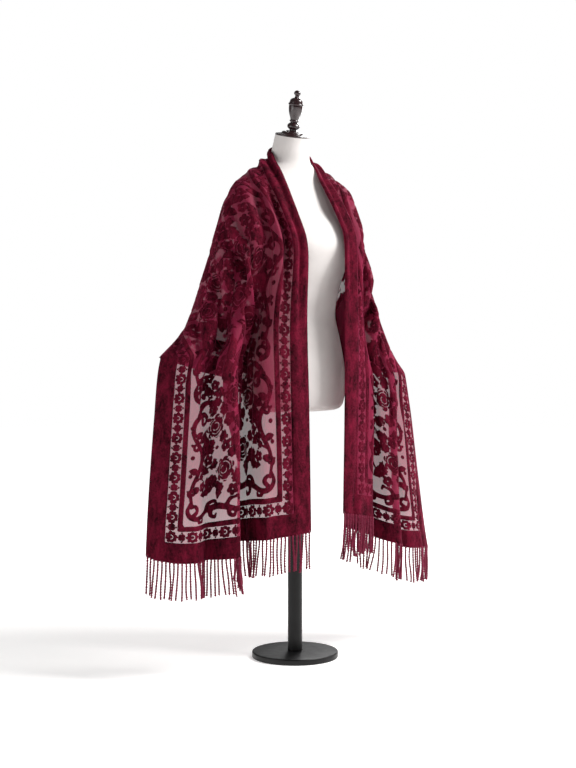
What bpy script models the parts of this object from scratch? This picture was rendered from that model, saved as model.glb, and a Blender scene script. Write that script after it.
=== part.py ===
"""Evening stole laid over the shoulders of a limbless dress form on a round foot.

Metres, +Z up. The origin is the centre of the foot's underside, the form looks along -Y,
and the wearer's right side is at -X. The stole is one length of cloth, so its solids are the
three stretches that show: the back, and a front on each side, parted along the ridge that runs
from the side of the neck over the shoulder to the lower corner of the back.
"""
import bmesh
import bpy
import numpy as np
from collections import namedtuple
from math import cos, pi, radians, sin
from mathutils import Matrix

CLOTH_WIDTH = 0.70        # neck edge to outer edge
CLOTH_WALL = 0.0016
SEAM_GAP = 0.0016         # along the cloth; the walls' inner corners come nearer
FRINGE_GAP = 0.0010
FRINGE_LENGTH = 0.106
FRINGE_WALL = 0.004
COLUMNS = 34              # across the width of the cloth
FRONT_ROWS = 15           # from the ridge to the hem
BACK_ROWS = 14            # from the centre back to a ridge

FOOT_RADIUS = 0.128
FOOT_HEIGHT = 0.018
POLE_RADIUS = 0.0215
FORM_BOTTOM = 0.735
TOUCH_GAP = 0.0003
NECK_TOP = 1.540
NECK_TOP_Y = 0.014
NECK_LEAN = radians(12.5)
CAP_BRIM = 0.0010         # how far the cap's rim reaches below its seat
MERGE = 0.00001

RIGHT = -1                # the wearer's right, at -X
LEFT = 1
SIDE_NAME = {RIGHT: "right", LEFT: "left"}

# The ridge line, from the side of the neck down to the corner where the lower edge turns.
Ridge = namedtuple("Ridge", "z half_width y")
RIDGE = {
    RIGHT: [Ridge(1.492, 0.061, 0.030), Ridge(1.470, 0.083, 0.030), Ridge(1.452, 0.108, 0.030),
            Ridge(1.432, 0.140, 0.030), Ridge(1.405, 0.175, 0.030), Ridge(1.375, 0.201, 0.030),
            Ridge(1.340, 0.218, 0.030), Ridge(1.290, 0.236, 0.030), Ridge(1.200, 0.264, 0.030),
            Ridge(1.120, 0.291, 0.028), Ridge(1.030, 0.324, 0.026), Ridge(0.950, 0.380, 0.024),
            Ridge(0.898, 0.438, 0.022)],
    LEFT: [Ridge(1.492, 0.064, 0.030), Ridge(1.470, 0.084, 0.030), Ridge(1.452, 0.107, 0.030),
           Ridge(1.432, 0.139, 0.030), Ridge(1.405, 0.174, 0.030), Ridge(1.375, 0.1985, 0.030),
           Ridge(1.340, 0.206, 0.030), Ridge(1.290, 0.216, 0.030), Ridge(1.200, 0.238, 0.030),
           Ridge(1.120, 0.264, 0.028), Ridge(1.030, 0.298, 0.026), Ridge(0.940, 0.343, 0.024),
           Ridge(0.880, 0.383, 0.022), Ridge(0.835, 0.423, 0.022)],
}

# The outer edge where it hangs below that corner.
Edge = namedtuple("Edge", "z half_width y")
OUTER_EDGE = {
    RIGHT: [Edge(0.898, 0.438, 0.022), Edge(0.860, 0.448, 0.020), Edge(0.725, 0.466, 0.012),
            Edge(0.586, 0.482, 0.006), Edge(0.446, 0.496, 0.000), Edge(0.330, 0.505, -0.005)],
    LEFT: [Edge(0.835, 0.423, 0.022), Edge(0.790, 0.431, 0.020), Edge(0.687, 0.444, 0.012),
           Edge(0.498, 0.468, 0.004), Edge(0.338, 0.492, 0.000), Edge(0.280, 0.501, -0.004)],
}

# The neck edge, from the side of the neck over the bust and straight down.
NECK_EDGE = {
    RIGHT: [Edge(1.492, 0.061, 0.030), Edge(1.459, 0.073, -0.010), Edge(1.418, 0.077, -0.047),
            Edge(1.359, 0.075, -0.086), Edge(1.301, 0.070, -0.116), Edge(1.230, 0.063, -0.145),
            Edge(1.173, 0.066, -0.157), Edge(1.059, 0.069, -0.160), Edge(0.775, 0.060, -0.158),
            Edge(0.395, 0.050, -0.155)],
    LEFT: [Edge(1.492, 0.064, 0.030), Edge(1.450, 0.063, -0.004), Edge(1.407, 0.050, -0.050),
           Edge(1.363, 0.052, -0.087), Edge(1.319, 0.057, -0.116), Edge(1.247, 0.070, -0.145),
           Edge(1.175, 0.066, -0.157), Edge(1.059, 0.065, -0.160), Edge(0.775, 0.067, -0.158),
           Edge(0.441, 0.064, -0.155)],
}

# The centre back, from the nape down to the lower edge.
Spine = namedtuple("Spine", "width_share z y")
SPINE = [Spine(0.00, 1.515, 0.086), Spine(0.08, 1.460, 0.099), Spine(0.17, 1.400, 0.118),
         Spine(0.27, 1.330, 0.132), Spine(0.46, 1.200, 0.144), Spine(0.74, 1.000, 0.160),
         Spine(1.00, 0.815, 0.178)]

# How high each hem hangs, from the neck edge (0) to the outer edge (1).
Hem = namedtuple("Hem", "width_share z")
HEM = {
    RIGHT: [Hem(0.00, 0.395), Hem(0.17, 0.385), Hem(0.36, 0.368), Hem(0.60, 0.338), Hem(0.80, 0.328),
            Hem(0.93, 0.334), Hem(1.00, 0.346)],
    LEFT: [Hem(0.00, 0.441), Hem(0.17, 0.418), Hem(0.40, 0.372), Hem(0.64, 0.328), Hem(0.86, 0.297),
           Hem(1.00, 0.290)],
}

# Fullness of a level section of a front: 1 is a straight line, 2 an ellipse.
Fullness = namedtuple("Fullness", "z right left")
FULLNESS = [Fullness(0.35, 1.60, 1.30), Fullness(0.85, 1.65, 1.40), Fullness(1.00, 1.75, 1.60),
            Fullness(1.20, 2.05, 1.90), Fullness(1.45, 2.15, 2.10)]

# Folds of the fronts. A place is the share of the section from the neck edge, at the shoulder and
# at the hem. Depths are metres inward at the chest, waist and hem; a ridge has a negative depth.
Fold = namedtuple("Fold", "name top_place hem_place half_width chest waist hem")
HANGING_FOLDS = {
    RIGHT: [Fold("border ripple", 0.12, 0.12, 0.034, -0.003, -0.006, -0.008),
            Fold("great valley", 0.43, 0.385, 0.024, 0.026, 0.080, 0.112),
            Fold("ridge beside it", 0.55, 0.49, 0.026, -0.010, -0.020, -0.022),
            Fold("arm valley", 0.68, 0.63, 0.021, 0.020, 0.044, 0.034),
            Fold("outer bend", 0.82, 0.80, 0.034, -0.005, -0.010, -0.014)],
    LEFT: [Fold("border ripple", 0.12, 0.12, 0.030, -0.003, -0.005, -0.006),
           Fold("deep pleat", 0.44, 0.40, 0.023, 0.030, 0.112, 0.150),
           Fold("ridge beside it", 0.57, 0.53, 0.024, -0.008, -0.014, -0.020),
           Fold("arm valley", 0.72, 0.66, 0.020, 0.014, 0.030, 0.034),
           Fold("outer bend", 0.88, 0.86, 0.030, -0.003, -0.006, -0.008)],
}
COLLAR_FOLDS = {
    RIGHT: [Fold("rolled neck edge", 0.08, 0.05, 0.016, -0.007, 0.000, 0.000),
            Fold("collar valley", 0.27, 0.16, 0.017, 0.011, 0.003, 0.000),
            Fold("second collar valley", 0.52, 0.30, 0.019, 0.010, 0.004, 0.000)],
    LEFT: [Fold("rolled neck edge", 0.08, 0.05, 0.016, -0.007, 0.000, 0.000),
           Fold("collar valley", 0.30, 0.18, 0.017, 0.010, 0.003, 0.000),
           Fold("second collar valley", 0.58, 0.34, 0.019, 0.008, 0.003, 0.000)],
}

# Flutes of the back: place from the centre back (0) to the ridge (1), depths outward.
Flute = namedtuple("Flute", "name place half_width blades lower_edge")
FLUTES = {
    RIGHT: [Flute("centre flute", 0.10, 0.045, 0.004, 0.017),
            Flute("blade flute", 0.42, 0.050, 0.006, 0.026),
            Flute("arm flute", 0.74, 0.045, 0.005, 0.021)],
    LEFT: [Flute("centre hollow", 0.16, 0.040, -0.003, -0.014),
           Flute("blade flute", 0.40, 0.052, 0.007, 0.028),
           Flute("arm flute", 0.78, 0.042, 0.004, 0.017)],
}

# Level rings of the form, from the bottom to the neck.
Ring = namedtuple("Ring", "z half_width front back fullness")
FORM_RINGS = [
    Ring(FORM_BOTTOM, 0.138, -0.078, 0.086, 2.1), Ring(0.7400, 0.150, -0.088, 0.096, 2.1),
    Ring(0.7550, 0.161, -0.096, 0.105, 2.1), Ring(0.8000, 0.168, -0.101, 0.112, 2.1),
    Ring(0.8600, 0.164, -0.101, 0.109, 2.1), Ring(0.9400, 0.144, -0.095, 0.084, 2.1),
    Ring(1.0200, 0.124, -0.087, 0.062, 2.1), Ring(1.0900, 0.134, -0.099, 0.070, 2.1),
    Ring(1.1600, 0.152, -0.124, 0.088, 2.2), Ring(1.2200, 0.168, -0.141, 0.104, 2.3),
    Ring(1.2700, 0.180, -0.124, 0.115, 2.3), Ring(1.3200, 0.191, -0.088, 0.119, 2.3),
    Ring(1.3550, 0.192, -0.067, 0.116, 2.3), Ring(1.3850, 0.1812, -0.049, 0.110, 2.2),
    Ring(1.4080, 0.1625, -0.036, 0.104, 2.1), Ring(1.4280, 0.130, -0.028, 0.100, 2.0),
    Ring(1.4460, 0.092, -0.025, 0.096, 2.0), Ring(1.4620, 0.067, -0.026, 0.091, 2.0),
    Ring(1.4800, 0.0585, -0.0290, 0.086, 2.0), Ring(1.5050, 0.0555, -0.0320, 0.077, 2.0),
    Ring(NECK_TOP, 0.0500, NECK_TOP_Y - 0.0500, NECK_TOP_Y + 0.0500, 2.0),
]
RING_POINTS = 44


def smooth_curve(places, values, wanted):
    """Smooth curve through a short table that never overshoots its rows."""
    places = np.asarray(places, float)
    values = np.asarray(values, float)
    if places[0] > places[-1]:
        places = places[::-1]
        values = values[::-1]
    step = np.diff(places)
    slope = np.diff(values) / step
    weight_a = 2 * step[1:] + step[:-1]
    weight_b = step[1:] + 2 * step[:-1]
    same_way = slope[:-1] * slope[1:] > 0
    low = np.where(same_way, slope[:-1], 1.0)
    high = np.where(same_way, slope[1:], 1.0)
    tangent = np.zeros(len(values))
    tangent[0] = slope[0]
    tangent[-1] = slope[-1]
    tangent[1:-1] = np.where(same_way, (weight_a + weight_b) / (weight_a / low + weight_b / high), 0.0)
    wanted = np.clip(wanted, places[0], places[-1])
    row = np.clip(np.searchsorted(places, wanted) - 1, 0, len(step) - 1)
    t = (wanted - places[row]) / step[row]
    start = values[row] * (1 + 2 * t) * (1 - t) ** 2 + tangent[row] * step[row] * t * (1 - t) ** 2
    end = values[row + 1] * t * t * (3 - 2 * t) + tangent[row + 1] * step[row] * t * t * (t - 1)
    return start + end


def read(table, column, by, wanted):
    """One column of a table, read at the wanted places of another column."""
    places = [getattr(row, by) for row in table]
    values = [getattr(row, column) for row in table]
    return smooth_curve(places, values, wanted)


def ease(share):
    share = np.clip(share, 0.0, 1.0)
    return share * share * (3 - 2 * share)


def hump(distance, half_width):
    return np.exp(-(distance / half_width) ** 2)


def running_length(points):
    return np.concatenate([[0.0], np.cumsum(np.linalg.norm(np.diff(points, axis=0), axis=1))])


def resample(points, wanted):
    """The points of a line at the wanted running lengths."""
    length = running_length(points)
    return np.stack([np.interp(wanted, length, points[:, k]) for k in range(points.shape[1])], axis=1)


def ridge_line(side):
    z = np.linspace(RIDGE[side][0].z, RIDGE[side][-1].z, 240)
    x = read(RIDGE[side], "half_width", "z", z)
    y = read(RIDGE[side], "y", "z", z)
    return np.stack([x, y, z], axis=1)


def outer_end(side, z):
    """Where a level section ends: on the ridge, or on the outer edge below the corner."""
    table = RIDGE[side] if z >= RIDGE[side][-1].z else OUTER_EDGE[side]
    return read(table, "half_width", "z", z), read(table, "y", "z", z)


def quarter(start, end, fullness, count=240):
    """Quarter of a superellipse in plan, evenly spaced, that leaves `start` along X."""
    angle = np.linspace(0, pi / 2, count)
    x = start[0] + (end[0] - start[0]) * np.sin(angle) ** (2 / fullness)
    y = end[1] + (start[1] - end[1]) * np.cos(angle) ** (2 / fullness)
    points = np.stack([x, y], axis=1)
    length = running_length(points)[-1]
    return resample(points, np.linspace(0, length, count)), length


def sideways(points):
    """Unit normals in plan, on the left of the way that the line runs."""
    along = np.gradient(points, axis=0)
    along /= np.maximum(np.linalg.norm(along, axis=1), 1e-9)[:, None]
    return np.stack([-along[:, 1], along[:, 0]], axis=1)


def front_section(side, z):
    """Level section of a front with its folds, as a plan line on the +X side."""
    start = (read(NECK_EDGE[side], "half_width", "z", z), read(NECK_EDGE[side], "y", "z", z))
    fullness = read(FULLNESS, SIDE_NAME[side], "z", z)
    base, length = quarter(start, outer_end(side, z), fullness)
    share = np.linspace(0, 1, len(base))
    ridge = ridge_line(side)
    ridge_length = running_length(ridge)
    reached = np.interp(-z, -ridge[:, 2], ridge_length)
    drop = np.interp(share * reached, ridge_length, ridge[:, 2]) - z
    under_ridge = ease(drop / 0.22)
    lowered = np.interp(z, [0.35, 1.35], [1.0, 0.0])
    inward = np.zeros(len(base))
    for fold in HANGING_FOLDS[side]:
        place = fold.top_place + (fold.hem_place - fold.top_place) * lowered
        depth = np.interp(z, [0.35, 1.00, 1.20, 1.36], [fold.hem, fold.waist, fold.chest, 0.0])
        inward += depth * under_ridge * hump((share - place) * length, fold.half_width)
    for fold in COLLAR_FOLDS[side]:
        place = fold.top_place + (fold.hem_place - fold.top_place) * ease((1.42 - z) / 0.35)
        depths = [0.0, fold.waist, fold.chest, fold.chest, 0.0]
        depth = np.interp(z, [0.85, 1.02, 1.22, 1.43, 1.48], depths)
        inward += depth * ease((1 - share) / 0.2) * hump((share - place) * length, fold.half_width)
    return base + sideways(base) * inward[:, None], reached / ridge_length[-1]


def back_section(side, z):
    """Level section of half the back with its flutes, from the centre back to the ridge."""
    base, length = quarter((0.0, read(SPINE, "y", "z", z)), outer_end(side, z), 2.0 if z > 1.2 else 1.9)
    share = np.linspace(0, 1, len(base))
    outward = np.zeros(len(base))
    for flute in FLUTES[side]:
        depth = np.interp(z, [0.84, 1.30, 1.42], [flute.lower_edge, flute.blades, 0.0])
        faded = ease((1 - share) / 0.15) * ease(share / 0.06)
        outward += depth * faded * hump((share - flute.place) * length, flute.half_width)
    return base + sideways(base) * outward[:, None], 1.0


class LevelSections:
    """Sections of one stretch at close levels, read between them at any height."""

    def __init__(self, side, make_section, low, high, levels=300, across=160):
        self.heights = np.linspace(low, high, levels)
        self.reached = np.zeros(levels)
        self.plan = np.zeros((levels, across, 2))
        for level, z in enumerate(self.heights):
            line, self.reached[level] = make_section(side, z)
            self.plan[level] = resample(line, np.linspace(0, running_length(line)[-1], across))

    def points(self, width_share, z):
        """Plan points on a front, at a share of the cloth's width and a height."""
        reached = np.maximum(np.interp(z, self.heights, self.reached), 1e-6)
        return self.points_along(np.minimum(width_share / reached, 1.0), z)

    def points_along(self, share, z):
        spacing = self.heights[1] - self.heights[0]
        level = np.clip((z - self.heights[0]) / spacing, 0, len(self.heights) - 1.001)
        column = np.clip(share * (self.plan.shape[1] - 1), 0, self.plan.shape[1] - 1.001)
        i = level.astype(int)
        j = column.astype(int)
        a = (level - i)[:, None]
        b = (column - j)[:, None]
        lower = self.plan[i, j] * (1 - b) + self.plan[i, j + 1] * b
        upper = self.plan[i + 1, j] * (1 - b) + self.plan[i + 1, j + 1] * b
        return lower * (1 - a) + upper * a


def ridge_height(side, width_share):
    ridge = ridge_line(side)
    length = running_length(ridge)
    return np.interp(width_share * length[-1], length, ridge[:, 2])


def front_surface(side):
    """Points of one front: a row of threads, each from the ridge to the hem at even lengths."""
    sections = LevelSections(side, front_section, 0.28, RIDGE[side][0].z)
    threads = []
    for width_share in np.linspace(0, 1, COLUMNS + 1):
        top = ridge_height(side, width_share)
        bottom = read(HEM[side], "z", "width_share", width_share)
        z = top + (bottom - top) * np.linspace(0, 1, 400) ** 2
        plan = sections.points(np.full(len(z), width_share), z)
        thread = np.column_stack([side * plan[:, 0], plan[:, 1], z])
        length = running_length(thread)[-1]
        threads.append(resample(thread, np.linspace(SEAM_GAP / 2, length, FRONT_ROWS + 1)))
    return np.array(threads)


def half_back_surface(side):
    """Points of half the back: a row of threads, each from the centre back to the ridge."""
    sections = LevelSections(side, back_section, 0.80, SPINE[0].z)
    threads = []
    for width_share in np.linspace(0, 1, COLUMNS + 1):
        middle = read(SPINE, "z", "width_share", width_share)
        end = ridge_height(side, width_share)
        share = np.linspace(0, 1, 200)
        z = middle + (end - middle) * ease(share)
        plan = sections.points_along(share, z)
        thread = np.column_stack([side * plan[:, 0], plan[:, 1], z])
        length = running_length(thread)[-1]
        threads.append(resample(thread, np.linspace(0, length - SEAM_GAP / 2, BACK_ROWS + 1)))
    return np.array(threads)


def back_surface():
    right = half_back_surface(RIGHT)[:, ::-1]
    left = half_back_surface(LEFT)
    return np.concatenate([right, left[:, 1:]], axis=1)


def clear_scene():
    for old in list(bpy.data.objects):
        bpy.data.objects.remove(old, do_unlink=True)
    for old in list(bpy.data.collections):
        bpy.data.collections.remove(old)


def make_material(name, colour, roughness, metallic=0.0):
    material = bpy.data.materials.new(name)
    material.use_nodes = True
    shader = material.node_tree.nodes["Principled BSDF"]
    shader.inputs["Base Color"].default_value = (*colour, 1.0)
    shader.inputs["Roughness"].default_value = roughness
    shader.inputs["Metallic"].default_value = metallic
    return material


def add_object(name, mesh, material, collection):
    mesh.materials.append(material)
    mesh.shade_smooth()
    made = bpy.data.objects.new(name, mesh)
    collection.objects.link(made)
    return made


def mapped_grid(name, points, material, collection, close_ring=False):
    """A grid whose corners are moved onto the given rows of points."""
    columns = points.shape[0] - 1
    rows = points.shape[1] - 1
    bm = bmesh.new()
    bmesh.ops.create_grid(bm, x_segments=columns, y_segments=rows, size=0.5)
    for vertex in bm.verts:
        i = round((vertex.co.x + 0.5) * columns)
        j = round((vertex.co.y + 0.5) * rows)
        vertex.co = points[i, j]
    if close_ring:
        bmesh.ops.remove_doubles(bm, verts=bm.verts, dist=MERGE)
        bmesh.ops.holes_fill(bm, edges=bm.edges, sides=0)
        bmesh.ops.recalc_face_normals(bm, faces=bm.faces)
    mesh = bpy.data.meshes.new(name)
    bm.to_mesh(mesh)
    bm.free()
    return add_object(name, mesh, material, collection)


def make_cloth(name, points, wall, material, collection):
    """A stretch of cloth: the wall lies evenly on both sides of its points."""
    sheet = mapped_grid(name, points, material, collection)
    shell = sheet.modifiers.new("wall", "SOLIDIFY")
    shell.thickness = wall
    shell.offset = 0.0
    return sheet


def make_fringe(side, hem, material, collection):
    """The reach of the knotted tassels, hanging straight down from the hem."""
    top = hem - np.array([0, 0, FRINGE_GAP])
    bottom = top - np.array([0, 0, FRINGE_LENGTH])
    reach = np.stack([top, bottom], axis=1)
    return make_cloth("fringe_" + SIDE_NAME[side], reach, FRINGE_WALL, material, collection)


def make_form(material, collection):
    """Smooth limbless torso with its neck, closed flat underneath and on top."""
    angle = np.linspace(0, 2 * pi, RING_POINTS + 1)
    rings = []
    for ring in FORM_RINGS:
        middle = (ring.front + ring.back) / 2
        depth = (ring.back - ring.front) / 2
        power = 2 / ring.fullness
        x = ring.half_width * np.sign(np.cos(angle)) * np.abs(np.cos(angle)) ** power
        y = middle + depth * np.sign(np.sin(angle)) * np.abs(np.sin(angle)) ** power
        z = np.full(len(angle), ring.z)
        if ring.z == NECK_TOP:
            z = NECK_TOP + (y - NECK_TOP_Y) * np.tan(NECK_LEAN)
        rings.append(np.column_stack([x, y, z]))
    rings = np.array(rings)
    rings[:, -1] = rings[:, 0]
    return mapped_grid("form_torso", rings, material, collection, close_ring=True)


def make_turned(name, profile, material, collection, steps=40):
    """A turned piece: its profile runs down the outer side and is spun round Z."""
    mesh = bpy.data.meshes.new(name)
    points = [(radius, 0.0, height) for radius, height in profile]
    mesh.from_pydata(points, [(i, i + 1) for i in range(len(points) - 1)], [])
    turned = add_object(name, mesh, material, collection)
    screw = turned.modifiers.new("turning", "SCREW")
    screw.steps = steps
    screw.render_steps = steps
    screw.use_merge_vertices = True
    screw.merge_threshold = MERGE
    screw.use_smooth_shade = True
    return turned


def arc(centre, radius, start, end, count=6):
    """Profile points along a round moulding, with angles in degrees from +radius."""
    angles = np.radians(np.linspace(start, end, count))
    return [(centre[0] + radius[0] * cos(a), centre[1] + radius[1] * sin(a)) for a in angles]


def finial_profile():
    """From the tip down: knob, neck, collar, urn, bead and ball, above the cap's top step."""
    tip = arc((0.0, 0.1240), (0.0100, 0.0085), 90, -50)
    neck = [(0.0060, 0.1160), (0.0065, 0.1120)]
    shoulder = arc((0.0, 0.1010), (0.0190, 0.0100), 65, 8, 4)
    collar = arc((0.0195, 0.0920), (0.0033, 0.0034), 80, -80)
    urn = [(0.0205, 0.0870), (0.0203, 0.0800), (0.0188, 0.0700)]
    urn += [(0.0158, 0.0600), (0.0128, 0.0520), (0.0115, 0.0475)]
    bead = arc((0.0095, 0.0435), (0.0040, 0.0038), 80, -80)
    ball = arc((0.0, 0.0280), (0.0185, 0.0118), 55, -55, 8)
    foot = [(0.0105, 0.0170), (0.0120, 0.0152), (0.0, 0.0152)]
    return tip + neck + shoulder + collar + urn + bead + ball + foot


def cap_profile():
    """Stepped cap that covers the top of the neck: upper step, ogee and rim."""
    step = [(0.0, 0.0149)] + arc((0.0150, 0.0120), (0.0050, 0.0029), 90, 0, 4)
    shelf = arc((0.0270, 0.0080), (0.0050, 0.0035), 90, 0, 4)
    ogee = [(0.0335, 0.0062), (0.0380, 0.0052), (0.0440, 0.0040)]
    rim = arc((0.0485, 0.0010), (0.0022, 0.0024), 90, -60, 5)
    return step + shelf + ogee + rim + [(0.0480, -0.0010), (0.0, -0.0010)]


def make_head(name, profile, lift, material, collection):
    """A turned piece on the leaning top of the neck."""
    piece = make_turned(name, profile, material, collection)
    on_neck = Matrix.Translation((0.0, NECK_TOP_Y, NECK_TOP)) @ Matrix.Rotation(NECK_LEAN, 4, "X")
    piece.matrix_world = on_neck @ Matrix.Translation((0.0, 0.0, lift))
    return piece


def make_stand(black, collection):
    foot = [(0.0, FOOT_HEIGHT)]
    foot += arc((FOOT_RADIUS - 0.004, FOOT_HEIGHT - 0.004), (0.004, 0.004), 90, 0, 4)
    foot += arc((FOOT_RADIUS - 0.002, 0.002), (0.002, 0.002), 0, -90, 3)
    foot += [(0.0, 0.0)]
    make_turned("stand_foot", foot, black, collection, 56)
    low = FOOT_HEIGHT + TOUCH_GAP
    high = FORM_BOTTOM - TOUCH_GAP
    pole = [(0.0, high), (POLE_RADIUS, high), (POLE_RADIUS, low), (0.0, low)]
    make_turned("stand_pole", pole, black, collection, 32)


def build():
    clear_scene()
    collection = bpy.data.collections.new("evening_stole")
    bpy.context.scene.collection.children.link(collection)
    velvet = make_material("wine_burnout_velvet", (0.105, 0.006, 0.022), 0.75)
    yarn = make_material("wine_fringe_yarn", (0.150, 0.014, 0.038), 0.70)
    jersey = make_material("ivory_jersey", (0.800, 0.790, 0.765), 0.85)
    wood = make_material("dark_turned_wood", (0.018, 0.006, 0.006), 0.25)
    black = make_material("black_satin_paint", (0.010, 0.010, 0.011), 0.35, 0.2)
    make_cloth("stole_back", back_surface(), CLOTH_WALL, velvet, collection)
    for side in (RIGHT, LEFT):
        points = front_surface(side)
        make_cloth("stole_front_" + SIDE_NAME[side], points, CLOTH_WALL, velvet, collection)
        make_fringe(side, points[:, -1], yarn, collection)
    make_form(jersey, collection)
    make_head("neck_cap", cap_profile(), CAP_BRIM + TOUCH_GAP, wood, collection)
    make_head("neck_finial", finial_profile(), CAP_BRIM + TOUCH_GAP, wood, collection)
    make_stand(black, collection)


build()
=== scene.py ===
"""Evening stole of burnout velvet, laid over a limbless dress form on a round foot."""
import bmesh
import bpy
import numpy as np
from collections import namedtuple
from math import cos, pi, radians, sin
from mathutils import Matrix, Vector
from mathutils.bvhtree import BVHTree


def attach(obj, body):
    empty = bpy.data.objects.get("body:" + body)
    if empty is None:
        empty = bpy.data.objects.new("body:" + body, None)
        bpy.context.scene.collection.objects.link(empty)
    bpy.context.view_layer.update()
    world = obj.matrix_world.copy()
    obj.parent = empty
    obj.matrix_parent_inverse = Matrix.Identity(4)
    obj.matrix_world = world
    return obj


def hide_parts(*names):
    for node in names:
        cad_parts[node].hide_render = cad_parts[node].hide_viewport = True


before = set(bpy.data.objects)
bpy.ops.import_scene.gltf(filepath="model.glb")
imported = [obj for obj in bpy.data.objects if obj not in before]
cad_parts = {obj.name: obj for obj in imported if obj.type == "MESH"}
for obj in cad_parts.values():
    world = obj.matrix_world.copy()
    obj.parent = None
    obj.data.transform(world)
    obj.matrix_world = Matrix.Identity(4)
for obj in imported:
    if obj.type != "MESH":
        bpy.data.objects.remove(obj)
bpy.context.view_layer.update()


# The studio floor: one round sheet of seamless white paper, wide enough for every view, matt and
# faintly grained. It lies under the foot and takes the soft shadows.
PAPER_RADIUS = 9.0
PAPER_GRAIN = 0.012
PAPER_SIDES = 96
GLOW_STARTS = 0.3         # metres from the middle
GLOW_FULL = 3.2


def to_linear(hex_colour):
    """An sRGB hex colour as linear values with a full alpha."""
    parts = [int(hex_colour[k:k + 2], 16) / 255 for k in (0, 2, 4)]
    linear = [part / 12.92 if part <= 0.04045 else ((part + 0.055) / 1.055) ** 2.4 for part in parts]
    return (*linear, 1.0)


def add_node(tree, kind, inputs=None, **settings):
    """One node with its settings. An input is a plain value or the output of another node."""
    node = tree.nodes.new(kind)
    for name, value in settings.items():
        setattr(node, name, value)
    for socket, value in (inputs or {}).items():
        if isinstance(value, bpy.types.NodeSocket):
            tree.links.new(value, node.inputs[socket])
        else:
            node.inputs[socket].default_value = value
    return node


def new_material(name, finish):
    """A material whose shader has the given even values, with its node tree and its shader."""
    material = bpy.data.materials.new(name)
    material.use_nodes = True
    shader = material.node_tree.nodes["Principled BSDF"]
    for socket, value in finish.items():
        shader.inputs[socket].default_value = value
    return material, material.node_tree, shader


def add_piece(name, bm, material):
    """The finished shape as a smooth-shaded object at the origin."""
    mesh = bpy.data.meshes.new(name)
    bm.to_mesh(mesh)
    bm.free()
    mesh.materials.append(material)
    mesh.shade_smooth()
    piece = bpy.data.objects.new(name, mesh)
    bpy.context.scene.collection.objects.link(piece)
    return piece


# Matt paper: dry fibres scatter the light evenly, with only a trace of tone in them. Away from the
# middle it glows with painted light, more the farther out, and so it runs into the white surround.
paper, tree, shader = new_material("matt_white_paper", {
    "Roughness": 0.9, "Specular IOR Level": 0.15, "Emission Color": (1.0, 1.0, 1.0, 1.0)})
place = add_node(tree, "ShaderNodeTexCoord").outputs["Object"]
fibres = add_node(tree, "ShaderNodeTexNoise", {"Vector": place, "Scale": 1 / PAPER_GRAIN, "Detail": 3.0})
tone = add_node(tree, "ShaderNodeMix", {0: fibres.outputs["Fac"], 6: to_linear("F4F2F0"),
                                        7: to_linear("F6F4F2")}, data_type="RGBA")
tree.links.new(tone.outputs[2], shader.inputs["Base Color"])
from_middle = add_node(tree, "ShaderNodeVectorMath", {0: place}, operation="LENGTH")
# Painted light: an emission on the paper that grows from the middle outward, not from any lamp.
painted_far_light = add_node(tree, "ShaderNodeMapRange", {
    "Value": from_middle.outputs["Value"], "From Min": GLOW_STARTS, "From Max": GLOW_FULL,
    "To Min": 0.43, "To Max": 0.87}, interpolation_type="SMOOTHSTEP")
tree.links.new(painted_far_light.outputs["Result"], shader.inputs["Emission Strength"])
bm = bmesh.new()
bmesh.ops.create_circle(bm, cap_ends=True, segments=PAPER_SIDES, radius=PAPER_RADIUS)
floor = add_piece("paper_floor", bm, paper)


# The light of a white studio: a white surround that itself gives little light, a soft key high on
# the camera's right, a weak broad fill on its left, and a kicker behind that lifts the sheer places.
CAMERA_TURN = radians(-34.0)
SURROUND_SHOWN = 1.0
SURROUND_LIGHT = 0.12


def table(kind, *rows):
    """A short table: one row of named columns for each tuple."""
    return [kind(*row) for row in rows]


# Turns are degrees round the form from the camera, sizes and heights metres, and powers watts.
Softbox = namedtuple("Softbox", "name turn distance height aim_height size power")
SOFTBOXES = table(Softbox, ("key", 80, 2.6, 3.4, 1.0, 1.3, 175), ("fill", -60, 3.4, 1.5, 0.95, 2.2, 25),
                  ("kicker", 165, 3.2, 2.5, 1.1, 1.6, 62))

world = bpy.data.worlds.new("white_surround")
world.use_nodes = True
bpy.context.scene.world = world
tree = world.node_tree
tree.nodes.clear()
path = add_node(tree, "ShaderNodeLightPath")
strength = add_node(tree, "ShaderNodeMix", {0: path.outputs["Is Camera Ray"], 2: SURROUND_LIGHT,
                                            3: SURROUND_SHOWN}, data_type="FLOAT")
surround = add_node(tree, "ShaderNodeBackground", {"Color": (1.0, 1.0, 1.0, 1.0),
                                                   "Strength": strength.outputs[0]})
add_node(tree, "ShaderNodeOutputWorld", {"Surface": surround.outputs["Background"]})
for softbox in SOFTBOXES:
    turn = CAMERA_TURN + radians(softbox.turn)
    spot = Vector((softbox.distance * sin(turn), -softbox.distance * cos(turn), softbox.height))
    light = bpy.data.lights.new(softbox.name, "AREA")
    light.size = softbox.size
    light.energy = softbox.power
    lamp = bpy.data.objects.new(softbox.name, light)
    aim = Vector((0.0, 0.0, softbox.aim_height)) - spot
    lamp.matrix_world = Matrix.Translation(spot) @ aim.to_track_quat("-Z", "Y").to_matrix().to_4x4()
    bpy.context.scene.collection.objects.link(lamp)
bpy.context.scene.view_settings.view_transform = "Standard"


# The camera stands to the wearer's right of the front, at hip height, tilted slightly down, with a
# long lens that keeps the form upright and undistorted.
CAMERA_DISTANCE = 4.65
CAMERA_HEIGHT = 1.05
CAMERA_TILT = radians(2.93)
FOCAL_LENGTH = 73.9       # mm, on a sensor 36 mm wide
LENS_SHIFT = -7 / 768

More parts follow.
